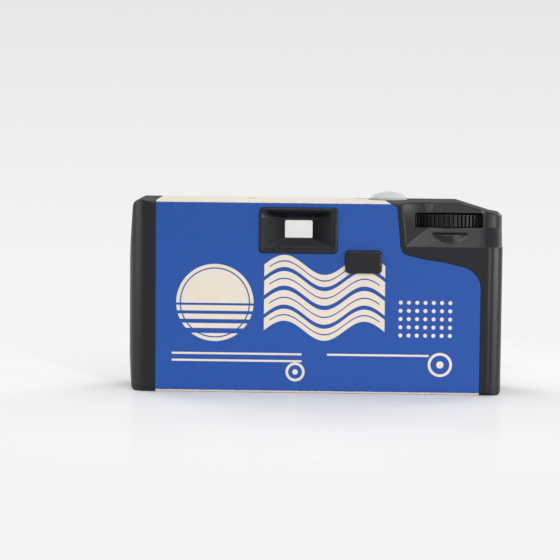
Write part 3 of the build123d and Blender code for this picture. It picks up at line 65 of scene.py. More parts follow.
# The view, found from edges of the camera whose sizes are known, with its focus in pixels
VIEW_PLACE = Vector((6.2, -720.0, 95.3)) * MM
VIEW_YAW = math.radians(-1.402)
VIEW_PITCH = math.radians(4.823)
VIEW_ROLL = math.radians(0.574)
PHOTO_WIDTH = 560
VIEW_FOCUS = 2247.6
SENSOR = 36.0

# Body, in millimetres, as the solids have it
REAR_Y = -15.7
FRONT_Y = 14.3
BODY_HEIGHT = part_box("rear_cover")[1].z / MM

# Colours, in linear light
BLACK_PLASTIC = (0.0085, 0.0090, 0.0112)
BLACK_WORN = (0.034, 0.036, 0.039)
DEEP_BLACK = (0.010, 0.010, 0.011)
# The thumb wheel's pale edge colour is a painted highlight on its tooth ridges
WHEEL_BLACK, WHEEL_PAINTED_HIGHLIGHT = (0.003, 0.003, 0.0035), (0.12,) * 3
BLADE_BLACK, BLADE_WORN = (0.006,) * 3, (0.012,) * 3
INK_WORN = (0.02,) * 3
ACETAL_WHITE, ACETAL_WORN = (0.62, 0.62, 0.58), (0.75, 0.75, 0.72)
LABEL_BLUE = (0.018, 0.083, 0.36)
LABEL_CREAM = (0.765, 0.66, 0.535)
PAPER_WHITE = (0.84, 0.81, 0.75)
FROSTED = (0.52, 0.555, 0.55)

# Softened edges and glancing light, on every finish
BEVEL_SAMPLES = 6
EDGE_GAIN = 6
GLANCING_START, GLANCING_GAIN = 0.72, 5


class Term:
    """A socket of a finish. Arithmetic on it adds Math nodes."""

    def __init__(self, finish, socket):
        self.finish = finish
        self.socket = socket

    def operate(self, operation, *others):
        """A Math node of this kind, on the term and the others in turn."""
        inputs = {number: term for number, term in enumerate((self, *others))}
        return self.finish.node("ShaderNodeMath", {"operation": operation}, inputs)

    def __add__(self, other):
        return self.operate("ADD", other)

    def __mul__(self, other):
        return self.operate("MULTIPLY", other)

    def __sub__(self, other):
        return self.operate("SUBTRACT", other)

    def __truediv__(self, other):
        return self.operate("DIVIDE", other)

    def __rsub__(self, other):
        return self.finish.node("ShaderNodeMath", {"operation": "SUBTRACT"}, {0: other, 1: self})

    __radd__ = __add__
    __rmul__ = __mul__

    def size(self):
        return self.operate("ABSOLUTE")

    def most(self, other):
        return self.operate("MAXIMUM", other)

    def least(self, other):
        return self.operate("MINIMUM", other)

    def clipped(self):
        """The value, kept between nought and one."""
        return self.most(0).least(1)

    def within(self, soft):
        """One where the signed distance is below zero, with an edge this soft."""
        return (0.5 - self / soft).clipped()


class Finish:
    """A material, or the world, and the one way in which its nodes are made."""

    def __init__(self, name, block=None):
        self.material = bpy.data.materials.new(name) if block is None else block
        self.material.use_nodes = True
        self.tree = self.material.node_tree
        self.tree.nodes.clear()

    def node(self, kind, settings=None, inputs=None, output=0):
        """Adds a node: its settings, then the values or links of its sockets."""
        node = self.tree.nodes.new(kind)
        for name, value in (settings or {}).items():
            setattr(node, name, value)
        for name, value in (inputs or {}).items():
            if isinstance(value, Term):
                self.tree.links.new(value.socket, node.inputs[name])
            else:
                node.inputs[name].default_value = value
        return Term(self, node.outputs[output]) if len(node.outputs) else None

    def place(self):
        """Where a point of the piece is at rest, in millimetres."""
        metres = self.node("ShaderNodeTexCoord", output="Object")
        return self.node("ShaderNodeVectorMath", {"operation": "SCALE"}, {0: metres, "Scale": 1 / MM})

    def parts(self, vector):
        """The three numbers of a vector."""
        return [self.node("ShaderNodeSeparateXYZ", inputs={0: vector}, output=axis) for axis in range(3)]

    def stretched(self, place, scale):
        """A place multiplied along each axis. A small number draws the noise out that way."""
        return self.node("ShaderNodeVectorMath", {"operation": "MULTIPLY"}, {0: place, 1: scale})

    def noise(self, place, grain, detail=2.0, rough=0.5):
        """Noise from nought to one, with cells about this many millimetres wide."""
        inputs = {"Vector": place, "Scale": 1 / grain, "Detail": detail, "Roughness": rough}
        return self.node("ShaderNodeTexNoise", inputs=inputs)

    def mix(self, share, first, second):
        """A colour between two others."""
        first = first if isinstance(first, Term) else (*first, 1)
        second = second if isinstance(second, Term) else (*second, 1)
        return self.node("ShaderNodeMix", {"data_type": "RGBA"}, {0: share, 6: first, 7: second}, 2)

    def rounded(self, radius):
        """The normal with the edges softened over this many millimetres."""
        return self.node("ShaderNodeBevel", {"samples": BEVEL_SAMPLES}, {"Radius": radius * MM})

    def blend(self, share, first, second):
        """A normal between two others."""
        return self.node("ShaderNodeMix", {"data_type": "VECTOR"}, {0: share, 4: first, 5: second}, 1)

    def edges(self, softened):
        """One along the softened edges, and nought on the flats."""
        vectors = {0: softened, 1: self.node("ShaderNodeNewGeometry", output="Normal")}
        dot = self.node("ShaderNodeVectorMath", {"operation": "DOT_PRODUCT"}, vectors, "Value")
        return ((1 - dot) * EDGE_GAIN).least(1)

    def glancing(self):
        """Nought where the surface is seen square on, and one where it is seen along it."""
        facing = self.node("ShaderNodeLayerWeight", output="Facing")
        return ((facing - GLANCING_START) * GLANCING_GAIN).clipped()

    def bump(self, height, depth, normal=None):
        """Relief from a height between nought and one, this many millimetres deep."""
        inputs = {"Height": height, "Distance": depth * MM, "Strength": 1.0}
        if normal:
            inputs["Normal"] = normal
        return self.node("ShaderNodeBump", inputs=inputs)

    def surface(self, colour, rough, normal=None, **others):
        """Shows a Principled shader, and gives the material. The colour may be three numbers."""
        colour = colour if isinstance(colour, Term) else (*colour, 1)
        inputs = {"Base Color": colour, "Roughness": rough, **others}
        if normal:
            inputs["Normal"] = normal
        self.show(self.node("ShaderNodeBsdfPrincipled", inputs=inputs))
        return self.material

    def show(self, shader):
        """Gives the material this shader."""
        self.node("ShaderNodeOutputMaterial", inputs={"Surface": shader})


def scaled(colour, share):
    """A colour with all its light scaled."""
    return tuple(part * share for part in colour)


def outside(place, ends):
    """The signed distance out of a span."""
    return (place - (ends[0] + ends[1]) / 2).size() - (ends[1] - ends[0]) / 2


def distance(across, along):
    """The length of a line with these two sides."""
    return (across * across + along * along).operate("SQRT")


# The thumb recess and the eyepiece, in millimetres
RECESS_X, RECESS_Z = 24.6, 47.5
RECESS_ROUNDING = 0.9
RECESS_GAIN = 4
SLOT_X, SLOT_Z = (31.4, 52.9), (52.8, 57.4)
SLOT_AWAY = 0.8
FUNNEL_X, FUNNEL_Z = (-17.2, 6.4), (39.6, 55.4)
FUNNEL_START_Y, FUNNEL_SOFT = REAR_Y + 0.3, 0.2
# The funnel's upper and lower walls are painted this many times paler: painted bounce light
FUNNEL_PAINTED_LIGHT = 4.6
UPRIGHT_START, UPRIGHT_GAIN = 0.3, 3
EYEPIECE_START_Y, EYEPIECE_SOFT = REAR_Y - 1.0, 0.4
EYEPIECE_ROUGHER = 0.34

# Moulded plastic: grains in millimetres, and where its scuffs start
CLOUD_GRAIN = 14.0
SCUFF_GRAIN, SCUFF_STRETCH = 0.9, (1.0, 1.0, 0.12)
SCUFF_START, SCUFF_GAIN = 0.66, 5
SCUFF_CLOUD_START, SCUFF_CLOUD_GAIN = 0.42, 2.4
SCUFF_WEAR, CLOUD_WEAR = 0.35, 0.4
CLOUD_ROUGH, SPARK_ROUGH, RUBBED_SMOOTH, GLANCING_ROUGH = 0.08, 0.12, 0.06, 0.6
MOULDED_SPECULAR = 0.28


# Finishes
def recess_share(finish, place):
    """One on the walls of the thumb recess, away from its slot and its lower edge."""
    x, _, z = finish.parts(place)
    slot = outside(x, SLOT_X).most(outside(z, SLOT_Z))
    edge = (x - RECESS_X).least(z - RECESS_Z)
    return ((slot - SLOT_AWAY).least(edge) * RECESS_GAIN).clipped()


def eyepiece_share(finish, place, start_y, soft):
    """One within the eyepiece's outline, from this place on towards the front."""
    x, y, z = finish.parts(place)
    return outside(x, FUNNEL_X).most(outside(z, FUNNEL_Z)).most(start_y - y).within(soft)


def funnel_painted_light_share(finish, place):
    """One on the upper and lower walls of the funnel, which are painted paler as painted bounce light.
    """
    normal = finish.node("ShaderNodeNewGeometry", output="Normal")
    upright = finish.parts(normal)[2].size()
    inside = eyepiece_share(finish, place, FUNNEL_START_Y, FUNNEL_SOFT)
    return inside * ((upright - UPRIGHT_START) * UPRIGHT_GAIN).clipped()


def moulded(name, colour, wear_and_highlight_colour, rough=0.23, grain=0.34, depth=0.022, edge=0.2, shell=False, edge_wear_and_highlight=0.1):
    """Moulded plastic with a fine spark texture and paler edges: rubbed wear, and on the thumb wheel a
    painted highlight along its tooth ridges.
    """
    finish = Finish(name)
    place = finish.place()
    softened = finish.rounded(edge)
    if shell:
        softened = finish.blend(recess_share(finish, place), softened, finish.rounded(RECESS_ROUNDING))
        # Painted light: the funnel's upper and lower walls are painted paler, standing in for bounce
        # light
        colour = finish.mix(funnel_painted_light_share(finish, place), colour, scaled(colour, FUNNEL_PAINTED_LIGHT))
        rough = rough + eyepiece_share(finish, place, EYEPIECE_START_Y, EYEPIECE_SOFT) * EYEPIECE_ROUGHER
    rubbed_and_highlit = finish.edges(softened)
    cloud = finish.noise(place, CLOUD_GRAIN, detail=3.0)
    spark = finish.noise(place, grain, detail=3.0, rough=0.6)
    scuff = finish.noise(finish.stretched(place, SCUFF_STRETCH), SCUFF_GRAIN, detail=4.0, rough=0.7)
    clouded = (cloud - SCUFF_CLOUD_START).most(0)
    scuffed = ((scuff - SCUFF_START) * SCUFF_GAIN).clipped() * clouded * SCUFF_CLOUD_GAIN
    # Paler edges: rubbed wear, and with the thumb wheel's colours a painted highlight on its ridges
    wear_and_highlight = (rubbed_and_highlit * (edge_wear_and_highlight + cloud * CLOUD_WEAR) + scuffed * SCUFF_WEAR).least(1)
    shade = finish.mix(wear_and_highlight, colour, wear_and_highlight_colour)
    roughness = rough + (cloud - 0.5) * CLOUD_ROUGH + (spark - 0.5) * SPARK_ROUGH
    roughness = roughness - rubbed_and_highlit * RUBBED_SMOOTH + finish.glancing() * GLANCING_ROUGH
    normal = finish.bump(spark, depth, softened)
    return finish.surface(shade, roughness, normal, **{"Specular IOR Level": MOULDED_SPECULAR})


# The label's paper and its generic pattern, in millimetres on the upright faces
SOFT_EDGE = 0.10
FOLD_DEPTH = 0.55
BASE_EDGE = 0.75
RAGGED_GRAIN, RAGGED_DEPTH = 1.1, 0.22
RIPPLE_GRAIN, RIPPLE_STRETCH, RIPPLE_DEPTH = 9.0, (1.0, 1.0, 0.45), 0.05
FIBRE_GRAIN, FIBRE_DEPTH = 0.25, 0.004
LABEL_CLOUD_GRAIN, LABEL_ROUNDING = 18.0, 0.3
BLUE_CLOUD, BLUE_DARKEST, CREAM_CLOUD, FIBRE_PALER = 0.5, 0.93, 0.6, 0.10
LABEL_ROUGH, FIBRE_ROUGH, PATTERN_ROUGH = 0.45, 0.14, 0.05
LABEL_SPECULAR = 0.15
DISC_X, DISC_Z, DISC_RADIUS = -31.5, 28.5, 12.2
DISC_INLINE = 10.9
INLINE_HALF = 0.20
DISC_SLOTS = ((28.0, 0.35), (25.4, 0.50), (22.6, 0.65), (19.6, 0.80))
WAVE_X = (-16.0, 22.0)
WAVE_Z, WAVE_RISE, WAVE_LENGTH = 30.6, 3.1, 25.3
WAVE_BANDS = ((8.2, 1.9), (2.7, 2.3), (-3.3, 2.3), (-8.8, 1.9))
WAVE_INLINE_END = 1.6
RULE_LINES = ((12.4, -45.0, -4.0), (10.2, -45.0, -4.0), (12.4, 4.0, 36.0))
RULE_HALF = 0.32
DOT_X, DOT_Z, DOT_PITCH, DOT_RADIUS = 27.0, 18.8, 2.6, 0.62
DOT_COLUMNS, DOT_ROWS = 7, 5
RING_PLACES = ((-6.0, 6.8, 2.6), (39.6, 9.6, 3.4))
RING_HALF = 0.42
RING_TO_CORE = 3


def printed_label():
    """Coated paper: a blue ground, cream folds and a generic pattern in cream."""
    finish = Finish("printed_label")
    place = finish.place()
    x, y, z = finish.parts(place)
    fibre = finish.noise(place, FIBRE_GRAIN, detail=3.0, rough=0.6)
    cloud = finish.noise(place, LABEL_CLOUD_GRAIN)
    ragged = (finish.noise(place, RAGGED_GRAIN) - 0.5) * RAGGED_DEPTH

    rear = (y - (REAR_Y + FOLD_DEPTH)).within(SOFT_EDGE)
    front = ((FRONT_Y - FOLD_DEPTH) - y).within(SOFT_EDGE)
    upright = (z - (BODY_HEIGHT - FOLD_DEPTH) + ragged).within(SOFT_EDGE)
    upright = upright * ((BASE_EDGE - z) + ragged).within(SOFT_EDGE)
    turned = x * (1 - 2 * front)
    pattern = label_pattern(turned, z)
    blue = upright * rear.most(front) * (1 - pattern)

    ground = finish.mix(cloud * BLUE_CLOUD, LABEL_BLUE, scaled(LABEL_BLUE, BLUE_DARKEST))
    cream = finish.mix(cloud * CREAM_CLOUD, LABEL_CREAM, PAPER_WHITE)
    shade = finish.mix(blue, cream, ground)
    shade = finish.mix((fibre - 0.5).size() * FIBRE_PALER, shade, PAPER_WHITE)
    ripple = finish.noise(finish.stretched(place, RIPPLE_STRETCH), RIPPLE_GRAIN, detail=1.0)
    fibres = finish.bump(fibre, FIBRE_DEPTH, finish.rounded(LABEL_ROUNDING))
    normal = finish.bump(ripple, RIPPLE_DEPTH, fibres)
    roughness = LABEL_ROUGH + (fibre - 0.5) * FIBRE_ROUGH + pattern * PATTERN_ROUGH
    return finish.surface(shade, roughness, normal, **{"Specular IOR Level": LABEL_SPECULAR})


def line(away, half):
    """One within half a line's width of its middle, with the label's soft edge."""
    return (away.size() - half).within(SOFT_EDGE)


def label_pattern(x, z):
    """A half-slotted disc, four waves, rules, dots and two rings."""
    span = distance(x - DISC_X, z - DISC_Z)
    pattern = (span - DISC_RADIUS).within(SOFT_EDGE) * (1 - line(span - DISC_INLINE, INLINE_HALF))
    for level, half in DISC_SLOTS:
        pattern = pattern * (1 - line(z - level, half))
    centre = WAVE_Z + WAVE_RISE * ((x - WAVE_X[0]) * (2 * math.pi / WAVE_LENGTH)).operate("SINE")
    between = outside(x, WAVE_X)
    for rise, half in WAVE_BANDS:
        away = (z - centre - rise).size()
        inline = (away - INLINE_HALF).most(between + WAVE_INLINE_END).within(SOFT_EDGE)
        pattern = pattern.most((away - half).most(between).within(SOFT_EDGE) * (1 - inline))
    for level, start, end in RULE_LINES:
        rule = ((z - level).size() - RULE_HALF).most(outside(x, (start, end)))
        pattern = pattern.most(rule.within(SOFT_EDGE))
    for centre_x, centre_z, radius in RING_PLACES:
        away = distance(x - centre_x, z - centre_z)
        pattern = pattern.most(line(away - radius, RING_HALF))
        pattern = pattern.most((away - radius / RING_TO_CORE).within(SOFT_EDGE))
    column = ((x - DOT_X) / DOT_PITCH).operate("ROUND").most(0).least(DOT_COLUMNS - 1)
    row = ((z - DOT_Z) / DOT_PITCH).operate("ROUND").most(0).least(DOT_ROWS - 1)
    away = distance(x - DOT_X - column * DOT_PITCH, z - DOT_Z - row * DOT_PITCH)
    return pattern.most((away - DOT_RADIUS).within(SOFT_EDGE))


# Clear plastic
SMEAR_GRAIN, SMEAR_DEPTH, SMEAR_ROUGH = 2.5, 0.003, 0.04
RIB_DEPTH = 0.12
PLASTIC_IOR = 1.49


def clear(name, tint=(0.94, 0.96, 0.96), rough=0.03, rib=0.0):
    """Clear moulded plastic, ribbed where it spreads the light."""
    finish = Finish(name)
    place = finish.place()
    smear = finish.noise(place, SMEAR_GRAIN, detail=3.0)
    height, depth = smear, SMEAR_DEPTH
    if rib:
        x, _, z = finish.parts(place)
        wave = (x * (2 * math.pi / rib)).operate("SINE") * (z * (2 * math.pi / rib)).operate("SINE")
        height, depth = 0.5 + wave * 0.5, RIB_DEPTH
    others = {"Transmission Weight": 1.0, "IOR": PLASTIC_IOR}
    return finish.surface(tint, rough + smear * SMEAR_ROUGH, finish.bump(height, depth), **others)


PANE_TINT = (0.86, 0.88, 0.88)
PANE_ROUGH, PANE_SMEAR_ROUGH = 0.04, 0.05
PANE_ALPHA, PANE_GLANCING_ALPHA = 0.05, 0.4


def thin_window(name):
    """A thin clear pane that lets the light in on what lies under it."""
    finish = Finish(name)
    smear = finish.noise(finish.place(), SMEAR_GRAIN, detail=3.0)
    alpha = PANE_ALPHA + finish.glancing() * PANE_GLANCING_ALPHA
    return finish.surface(PANE_TINT, PANE_ROUGH + smear * PANE_SMEAR_ROUGH, Alpha=alpha)


# The flash's light pipe
PIPE_DEEP, PIPE_PALE = (0.80, 0.20, 0.035), (0.90, 0.30, 0.06)
PIPE_GRAIN, PIPE_DEPTH, PIPE_ROUNDING = 0.8, 0.004, 0.15
PIPE_ROUGH, PIPE_CLOUD_ROUGH = 0.16, 0.08
PIPE_SCATTER, PIPE_SCATTER_REACH, PIPE_COAT = 0.6, 1.5 * MM, 0.4


def lamp_pipe():
    """The orange light pipe of the flash, which scatters the light inside it."""
    finish = Finish("lamp_pipe")
    cloud = finish.noise(finish.place(), PIPE_GRAIN)
    shade = finish.mix(cloud, PIPE_DEEP, PIPE_PALE)
    normal = finish.bump(cloud, PIPE_DEPTH, finish.rounded(PIPE_ROUNDING))
    others = {"Subsurface Weight": PIPE_SCATTER, "Subsurface Scale": PIPE_SCATTER_REACH}
    roughness = PIPE_ROUGH + cloud * PIPE_CLOUD_ROUGH
    return finish.surface(shade, roughness, normal, **others, **{"Coat Weight": PIPE_COAT})


# The dome
SKIN_GRAIN, SKIN_DEPTH, SKIN_ROUGH = 0.3, 0.01, 0.14
DOME_CLOUD_GRAIN, DOME_PALEST = 5.0, 1.12
DOME_ROUNDING, DOME_ROUGH = 0.4, 0.38
DOME_SCATTER, DOME_SCATTER_REACH, DOME_SCATTER_TINT = 0.45, 2.5 * MM, (1.0, 1.0, 0.9)


def frosted_button():
    """The dome: pale, translucent plastic with a frosted skin."""
    finish = Finish("frosted_button")
    place = finish.place()
    skin = finish.noise(place, SKIN_GRAIN, detail=3.0, rough=0.6)
    cloud = finish.noise(place, DOME_CLOUD_GRAIN)
    shade = finish.mix(cloud, FROSTED, scaled(FROSTED, DOME_PALEST))
    normal = finish.bump(skin, SKIN_DEPTH, finish.rounded(DOME_ROUNDING))
    others = {"Subsurface Weight": DOME_SCATTER, "Subsurface Scale": DOME_SCATTER_REACH}
    others["Subsurface Radius"] = DOME_SCATTER_TINT
    return finish.surface(shade, DOME_ROUGH + skin * SKIN_ROUGH, normal, **others)


# Metal
METAL_STRETCH = (1.0, 1.0, 12.0)
METAL_GRAIN, METAL_CLOUD_GRAIN, METAL_DEPTH, METAL_ROUNDING = 1.2, 6.0, 0.004, 0.1
METAL_CLOUD, METAL_LINE, METAL_DARKEST, METAL_LINE_ROUGH = 0.6, 0.3, 0.72, 0.16


def metal(name, colour, rough):
    """Drawn or rolled metal with fine lines one way."""
    finish = Finish(name)
    place = finish.place()
    lines = finish.noise(finish.stretched(place, METAL_STRETCH), METAL_GRAIN, detail=3.0, rough=0.7)
    cloud = finish.noise(place, METAL_CLOUD_GRAIN)
    shade = finish.mix(cloud * METAL_CLOUD + lines * METAL_LINE, colour, scaled(colour, METAL_DARKEST))
    normal = finish.bump(lines, METAL_DEPTH, finish.rounded(METAL_ROUNDING))
    return finish.surface(shade, rough + (lines - 0.5) * METAL_LINE_ROUGH, normal, Metallic=1.0)


# Lacquer
LACQUER_GRAIN, LACQUER_DEPTH, LACQUER_ROUNDING = 0.4, 0.003, 0.15
LACQUER_FLECK, LACQUER_DARKEST = 0.25, 0.5
LACQUER_ROUGH, LACQUER_GRAIN_ROUGH = 0.3, 0.1
LACQUER_BAND_SOFT = 0.1


def lacquered(name, colour, second, ends):
    """Lacquer in two plain colours, the second between two places along X."""
    finish = Finish(name)
    place = finish.place()
    fine = finish.noise(place, LACQUER_GRAIN, detail=3.0)
    band = outside(finish.parts(place)[0], ends).within(LACQUER_BAND_SOFT)
    shade = finish.mix(band, colour, second)
    shade = finish.mix((fine - 0.5).size() * LACQUER_FLECK, shade, scaled(colour, LACQUER_DARKEST))
    normal = finish.bump(fine, LACQUER_DEPTH, finish.rounded(LACQUER_ROUNDING))
    return finish.surface(shade, LACQUER_ROUGH + (fine - 0.5) * LACQUER_GRAIN_ROUGH, normal)


# Film
FILM_DEEP, FILM_PALE = (0.055, 0.034, 0.030), (0.085, 0.055, 0.048)
FILM_STRETCH = (0.05, 1.0, 1.0)
FILM_GRAIN, FILM_DEPTH = 1.2, 0.004
FILM_ROUGH, FILM_BAND_ROUGH = 0.14, 0.1


def film(name):
    """Film seen from its back: brown, glossy, with faint lengthwise bands."""
    finish = Finish(name)
    bands = finish.noise(finish.stretched(finish.place(), FILM_STRETCH), FILM_GRAIN)
    shade = finish.mix(bands, FILM_DEEP, FILM_PALE)
    return finish.surface(shade, FILM_ROUGH + bands * FILM_BAND_ROUGH, finish.bump(bands, FILM_DEPTH))


# The circuit board
BOARD_GREEN, TRACK_GREEN, WEAVE_TAN = (0.05, 0.16, 0.07), (0.13, 0.26, 0.10), (0.20, 0.18, 0.09)
WEAVE_GRAIN, WEAVE_SHARE, WEAVE_ROUGH = 0.5, 0.3, 0.15
BOARD_ROUGH, BOARD_ROUNDING, TRACK_DEPTH = 0.3, 0.1, 0.03
TRACK_PITCH, TRACK_HALF, TRACK_SOFT = 3.2, 0.16, 0.05
TRACK_SWAY, TRACK_SWAY_LENGTH = 2, 3


def board_finish():
    """The circuit board: dark green lacquer, paler over the tracks, on a tan weave."""
    finish = Finish("board_finish")
    place = finish.place()
    x, _, z = finish.parts(place)
    weave = finish.noise(place, WEAVE_GRAIN, detail=3.0)
    sway = (z / TRACK_SWAY_LENGTH).operate("SINE") * TRACK_SWAY
    track = ((x + sway) / TRACK_PITCH).operate("FRACT") - 0.5
    tracks = (track.size() - TRACK_HALF).within(TRACK_SOFT)
    shade = finish.mix(tracks, BOARD_GREEN, TRACK_GREEN)
    shade = finish.mix(weave * WEAVE_SHARE, shade, WEAVE_TAN)
    normal = finish.bump(tracks, TRACK_DEPTH, finish.rounded(BOARD_ROUNDING))
    return finish.surface(shade, BOARD_ROUGH + weave * WEAVE_ROUGH, normal)


def dress(finish, *names):
    """Gives each of these solids the finish."""
    for name in names:
        for place in NODES[name].material_slots:
            place.material = finish


def dress_plastics():
    """The finish of the moulded and the printed pieces."""
    black = moulded("black_shell", BLACK_PLASTIC, BLACK_WORN, shell=True)
    dress(black, "front_cover", "rear_cover", "cassette_door", "flash_switch")
    ring = moulded("black_ring", BLACK_PLASTIC, BLACK_WORN, rough=0.4, grain=0.2, depth=0.008)
    dress(ring, "lens_surround")
    # The thumb wheel's paler edges, weighted strongly here, are a painted highlight on its tooth ridges
    relief = {"rough": 0.30, "grain": 0.25, "depth": 0.006, "edge": 0.10, "edge_wear_and_highlight": 0.5}
    dress(moulded("black_wheel", WHEEL_BLACK, WHEEL_PAINTED_HIGHLIGHT, **relief), "thumb_wheel")
    inner = moulded("inner_black", DEEP_BLACK, BLACK_WORN, rough=0.6, grain=0.25, depth=0.01, edge=0.15)
    dress(inner, "film_frame", "mechanism_plate", "lens_board", "wheel_pawl")
    dress(inner, "supply_spool", "cassette_spool")
    relief = {"rough": 0.38, "grain": 0.3, "depth": 0.005, "edge": 0.12}
    white = moulded("white_acetal", ACETAL_WHITE, ACETAL_WORN, **relief)
    dress(white, "sprocket_shaft", "lock_lever", "striker_lever", "counter_disc")
    dress(printed_label(), "wrap_label")
    dress(frosted_button(), "shutter_button")


def dress_clear():
    """The finish of the lenses, panes and glass."""
    dress(clear("clear_lens", rough=0.0), "taking_lens")
    dress(thin_window("counter_pane"), "counter_window")
    finder = clear("finder_lens", (0.955, 0.95, 0.945), rough=0.0)
    dress(finder, "viewfinder_rear_lens", "viewfinder_front_lens")
    dress(clear("ribbed_window", rough=0.08, rib=0.9), "flash_window")
    dress(clear("tube_glass", (0.9, 0.93, 0.95)), "flash_tube")
    dress(lamp_pipe(), "ready_lamp")


def dress_inside():
    """The finish of the film, the metal pieces and the flash's electrics."""
    dress(film("film_base"), "film_strip", "film_roll")
    dress(metal("bright_reflector", (0.88, 0.88, 0.87), 0.16), "flash_reflector")
    dress(metal("zinc_plate", (0.62, 0.61, 0.58), 0.32), "plate_screws", "battery_contacts")
    dress(metal("phosphor_strip", (0.75, 0.52, 0.27), 0.28), "sync_contact")
    relief = {"rough": 0.45, "grain": 0.8, "depth": 0.001, "edge": 0.05}
    dress(moulded("blade_black", BLADE_BLACK, BLADE_WORN, **relief), "shutter_blade")
    cap = moulded("cap_black", DEEP_BLACK, BLACK_WORN, rough=0.25, grain=0.3, depth=0.003)
    dress(cap, "cassette_top_cap", "cassette_bottom_cap")
    for name, colour, second, ends, piece in (
        ("cassette_lacquer", (0.55, 0.44, 0.06), (0.03, 0.16, 0.08), (46.0, 60.0), "cassette_shell"),
        ("cell_jacket", (0.10, 0.11, 0.13), (0.42, 0.30, 0.14), (4.0, 20.0), "battery"),
        ("capacitor_sleeve", (0.03, 0.04, 0.09), (0.5, 0.5, 0.48), (-47.0, -44.0), "capacitor"),
        ("wound_tape", (0.50, 0.40, 0.10), (0.30, 0.10, 0.05), (-50.5, -45.5), "transformer"),
        ("part_body", (0.45, 0.36, 0.22), (0.35, 0.08, 0.05), (-30.2, -29.6), "board_parts"),
    ):
        dress(lacquered(name, colour, second, ends), piece)
    dress(board_finish(), "circuit_board")


# Pieces made here
def linked(name, data):
    """An object of this data, in the scene."""
    piece = bpy.data.objects.new(name, data)
    bpy.context.scene.collection.objects.link(piece)
    return piece


def mesh_data(name, mesh):
    """The data of a mesh in the making, which is freed."""
    data = bpy.data.meshes.new(name)
    mesh.to_mesh(data)
    mesh.free()
    return data


def tube(name, points, radius, sides):
    """A closed tube through points, as a mesh."""
    mesh = bmesh.new()
    rings = []
    for number, point in enumerate(points):
        ahead = points[min(number + 1, len(points) - 1)] - points[max(number - 1, 0)]
        across = ahead.cross(Vector((0, 0, 1))).normalized()
        upward = across.cross(ahead).normalized()
        ring = []
        for side in range(sides):
            turn = 2 * math.pi * side / sides
            offset = math.cos(turn) * across + math.sin(turn) * upward
            ring.append(mesh.verts.new(point + radius * offset))
        rings.append(ring)
    for first, second in zip(rings, rings[1:]):
        for side in range(sides):
            after = (side + 1) % sides
            mesh.faces.new((first[side], first[after], second[after], second[side]))
    mesh.faces.new(rings[0][::-1])
    mesh.faces.new(rings[-1])
    bmesh.ops.recalc_face_normals(mesh, faces=mesh.faces)
    data = mesh_data(name, mesh)
    for face in data.polygons:
        face.use_smooth = True
    return linked(name, data)


SPRING_TURNS = 5
SPRING_TURN_STEPS, SPRING_SIDES = 24, 10
SPRING_WIRE = 0.22 * MM
SPRING_END_SHARE, SPRING_EVEN_RISE = 0.12, 0.06


def coil_spring():
    """The wound spring under the button, in the space of its plain solid, with closed ends."""
    low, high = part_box("button_spring")
    centre = (low + high) / 2
    radius = (high.x - low.x) / 2 - SPRING_WIRE
    height = high.z - low.z - 2 * SPRING_WIRE
    steps = SPRING_TURNS * SPRING_TURN_STEPS
    points = []
    for step in range(steps + 1):
        share = step / steps
        turn = 2 * math.pi * SPRING_TURNS * share
        opened = min(max((share - SPRING_END_SHARE) / (1 - 2 * SPRING_END_SHARE), 0), 1)
        rise = SPRING_EVEN_RISE * share + (1 - SPRING_EVEN_RISE) * opened
        x = centre.x + radius * math.cos(turn)
        y = centre.y + radius * math.sin(turn)
        points.append(Vector((x, y, low.z + SPRING_WIRE + height * rise)))
    spring = tube("button_coil_spring", points, SPRING_WIRE, SPRING_SIDES)
    spring.data.materials.append(metal("spring_wire", (0.62, 0.61, 0.60), 0.25))
    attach(spring, "camera_body")
    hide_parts("button_spring")
    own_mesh(spring)


NUMBER_SIZE = 2.1 * MM
NUMBER_COUNT = 14
NUMBER_STEP = 2
NUMBER_LIFT = 0.01 * MM


def counter_numbers():
    """Plain even numbers round the counter's disc, upright under its window."""
    low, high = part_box("counter_disc")
    window_low, window_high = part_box("counter_window")
    centre = (low + high) / 2
    window = (window_low + window_high) / 2 - centre
    start = math.atan2(window.y, window.x)
    away = math.hypot(window.x, window.y)
    ink = moulded("counter_ink", DEEP_BLACK, INK_WORN, rough=0.5, grain=0.2, depth=0.001, edge=0.01)
    joined = bmesh.new()
    for number in range(NUMBER_COUNT):
        text = bpy.data.curves.new(f"counter_number_{number}", "FONT")
        text.body = str(number * NUMBER_STEP)
        text.size = NUMBER_SIZE
        text.align_x = "CENTER"
        text.align_y = "CENTER"
        text.extrude = NUMBER_LIFT
        source = linked(text.name, text)
        bpy.context.view_layer.update()
        data = bpy.data.meshes.new_from_object(source)
        turn = 2 * math.pi * number / NUMBER_COUNT
        reach = Vector((math.cos(start + turn), math.sin(start + turn), 0)) * away
        place = Matrix.Translation(Vector((centre.x, centre.y, high.z + NUMBER_LIFT)) + reach)
        data.transform(place @ Matrix.Rotation(turn, 4, "Z"))
        joined.from_mesh(data)
        bpy.data.objects.remove(source)
    data = mesh_data("counter_numbers", joined)
    data.materials.append(ink)
    numbers = linked("counter_numbers", data)
    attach(numbers, "counter")


# Stage: sizes in metres, and the slopes with which its light changes with height
FLOOR_HALF = 3.0
FLOOR_SEGMENTS = 8
FLOOR_FADE_START, FLOOR_FADE_END = 0.07, 0.18
FLOOR_COLOUR = (0.93, 0.93, 0.93)
FLOOR_SHINE, FLOOR_SHINE_ROUGH = 0.08, 0.16
SEEN_HIGH = (0.788, 0.793, 0.793)
SEEN_LOW = (0.905, 0.906, 0.908)
SEEN_DIP, SEEN_SLOPE = 0.014, -7.8
AMBIENT_HIGH, AMBIENT_LOW = 0.26, 0.40
AMBIENT_SLOPE = 4


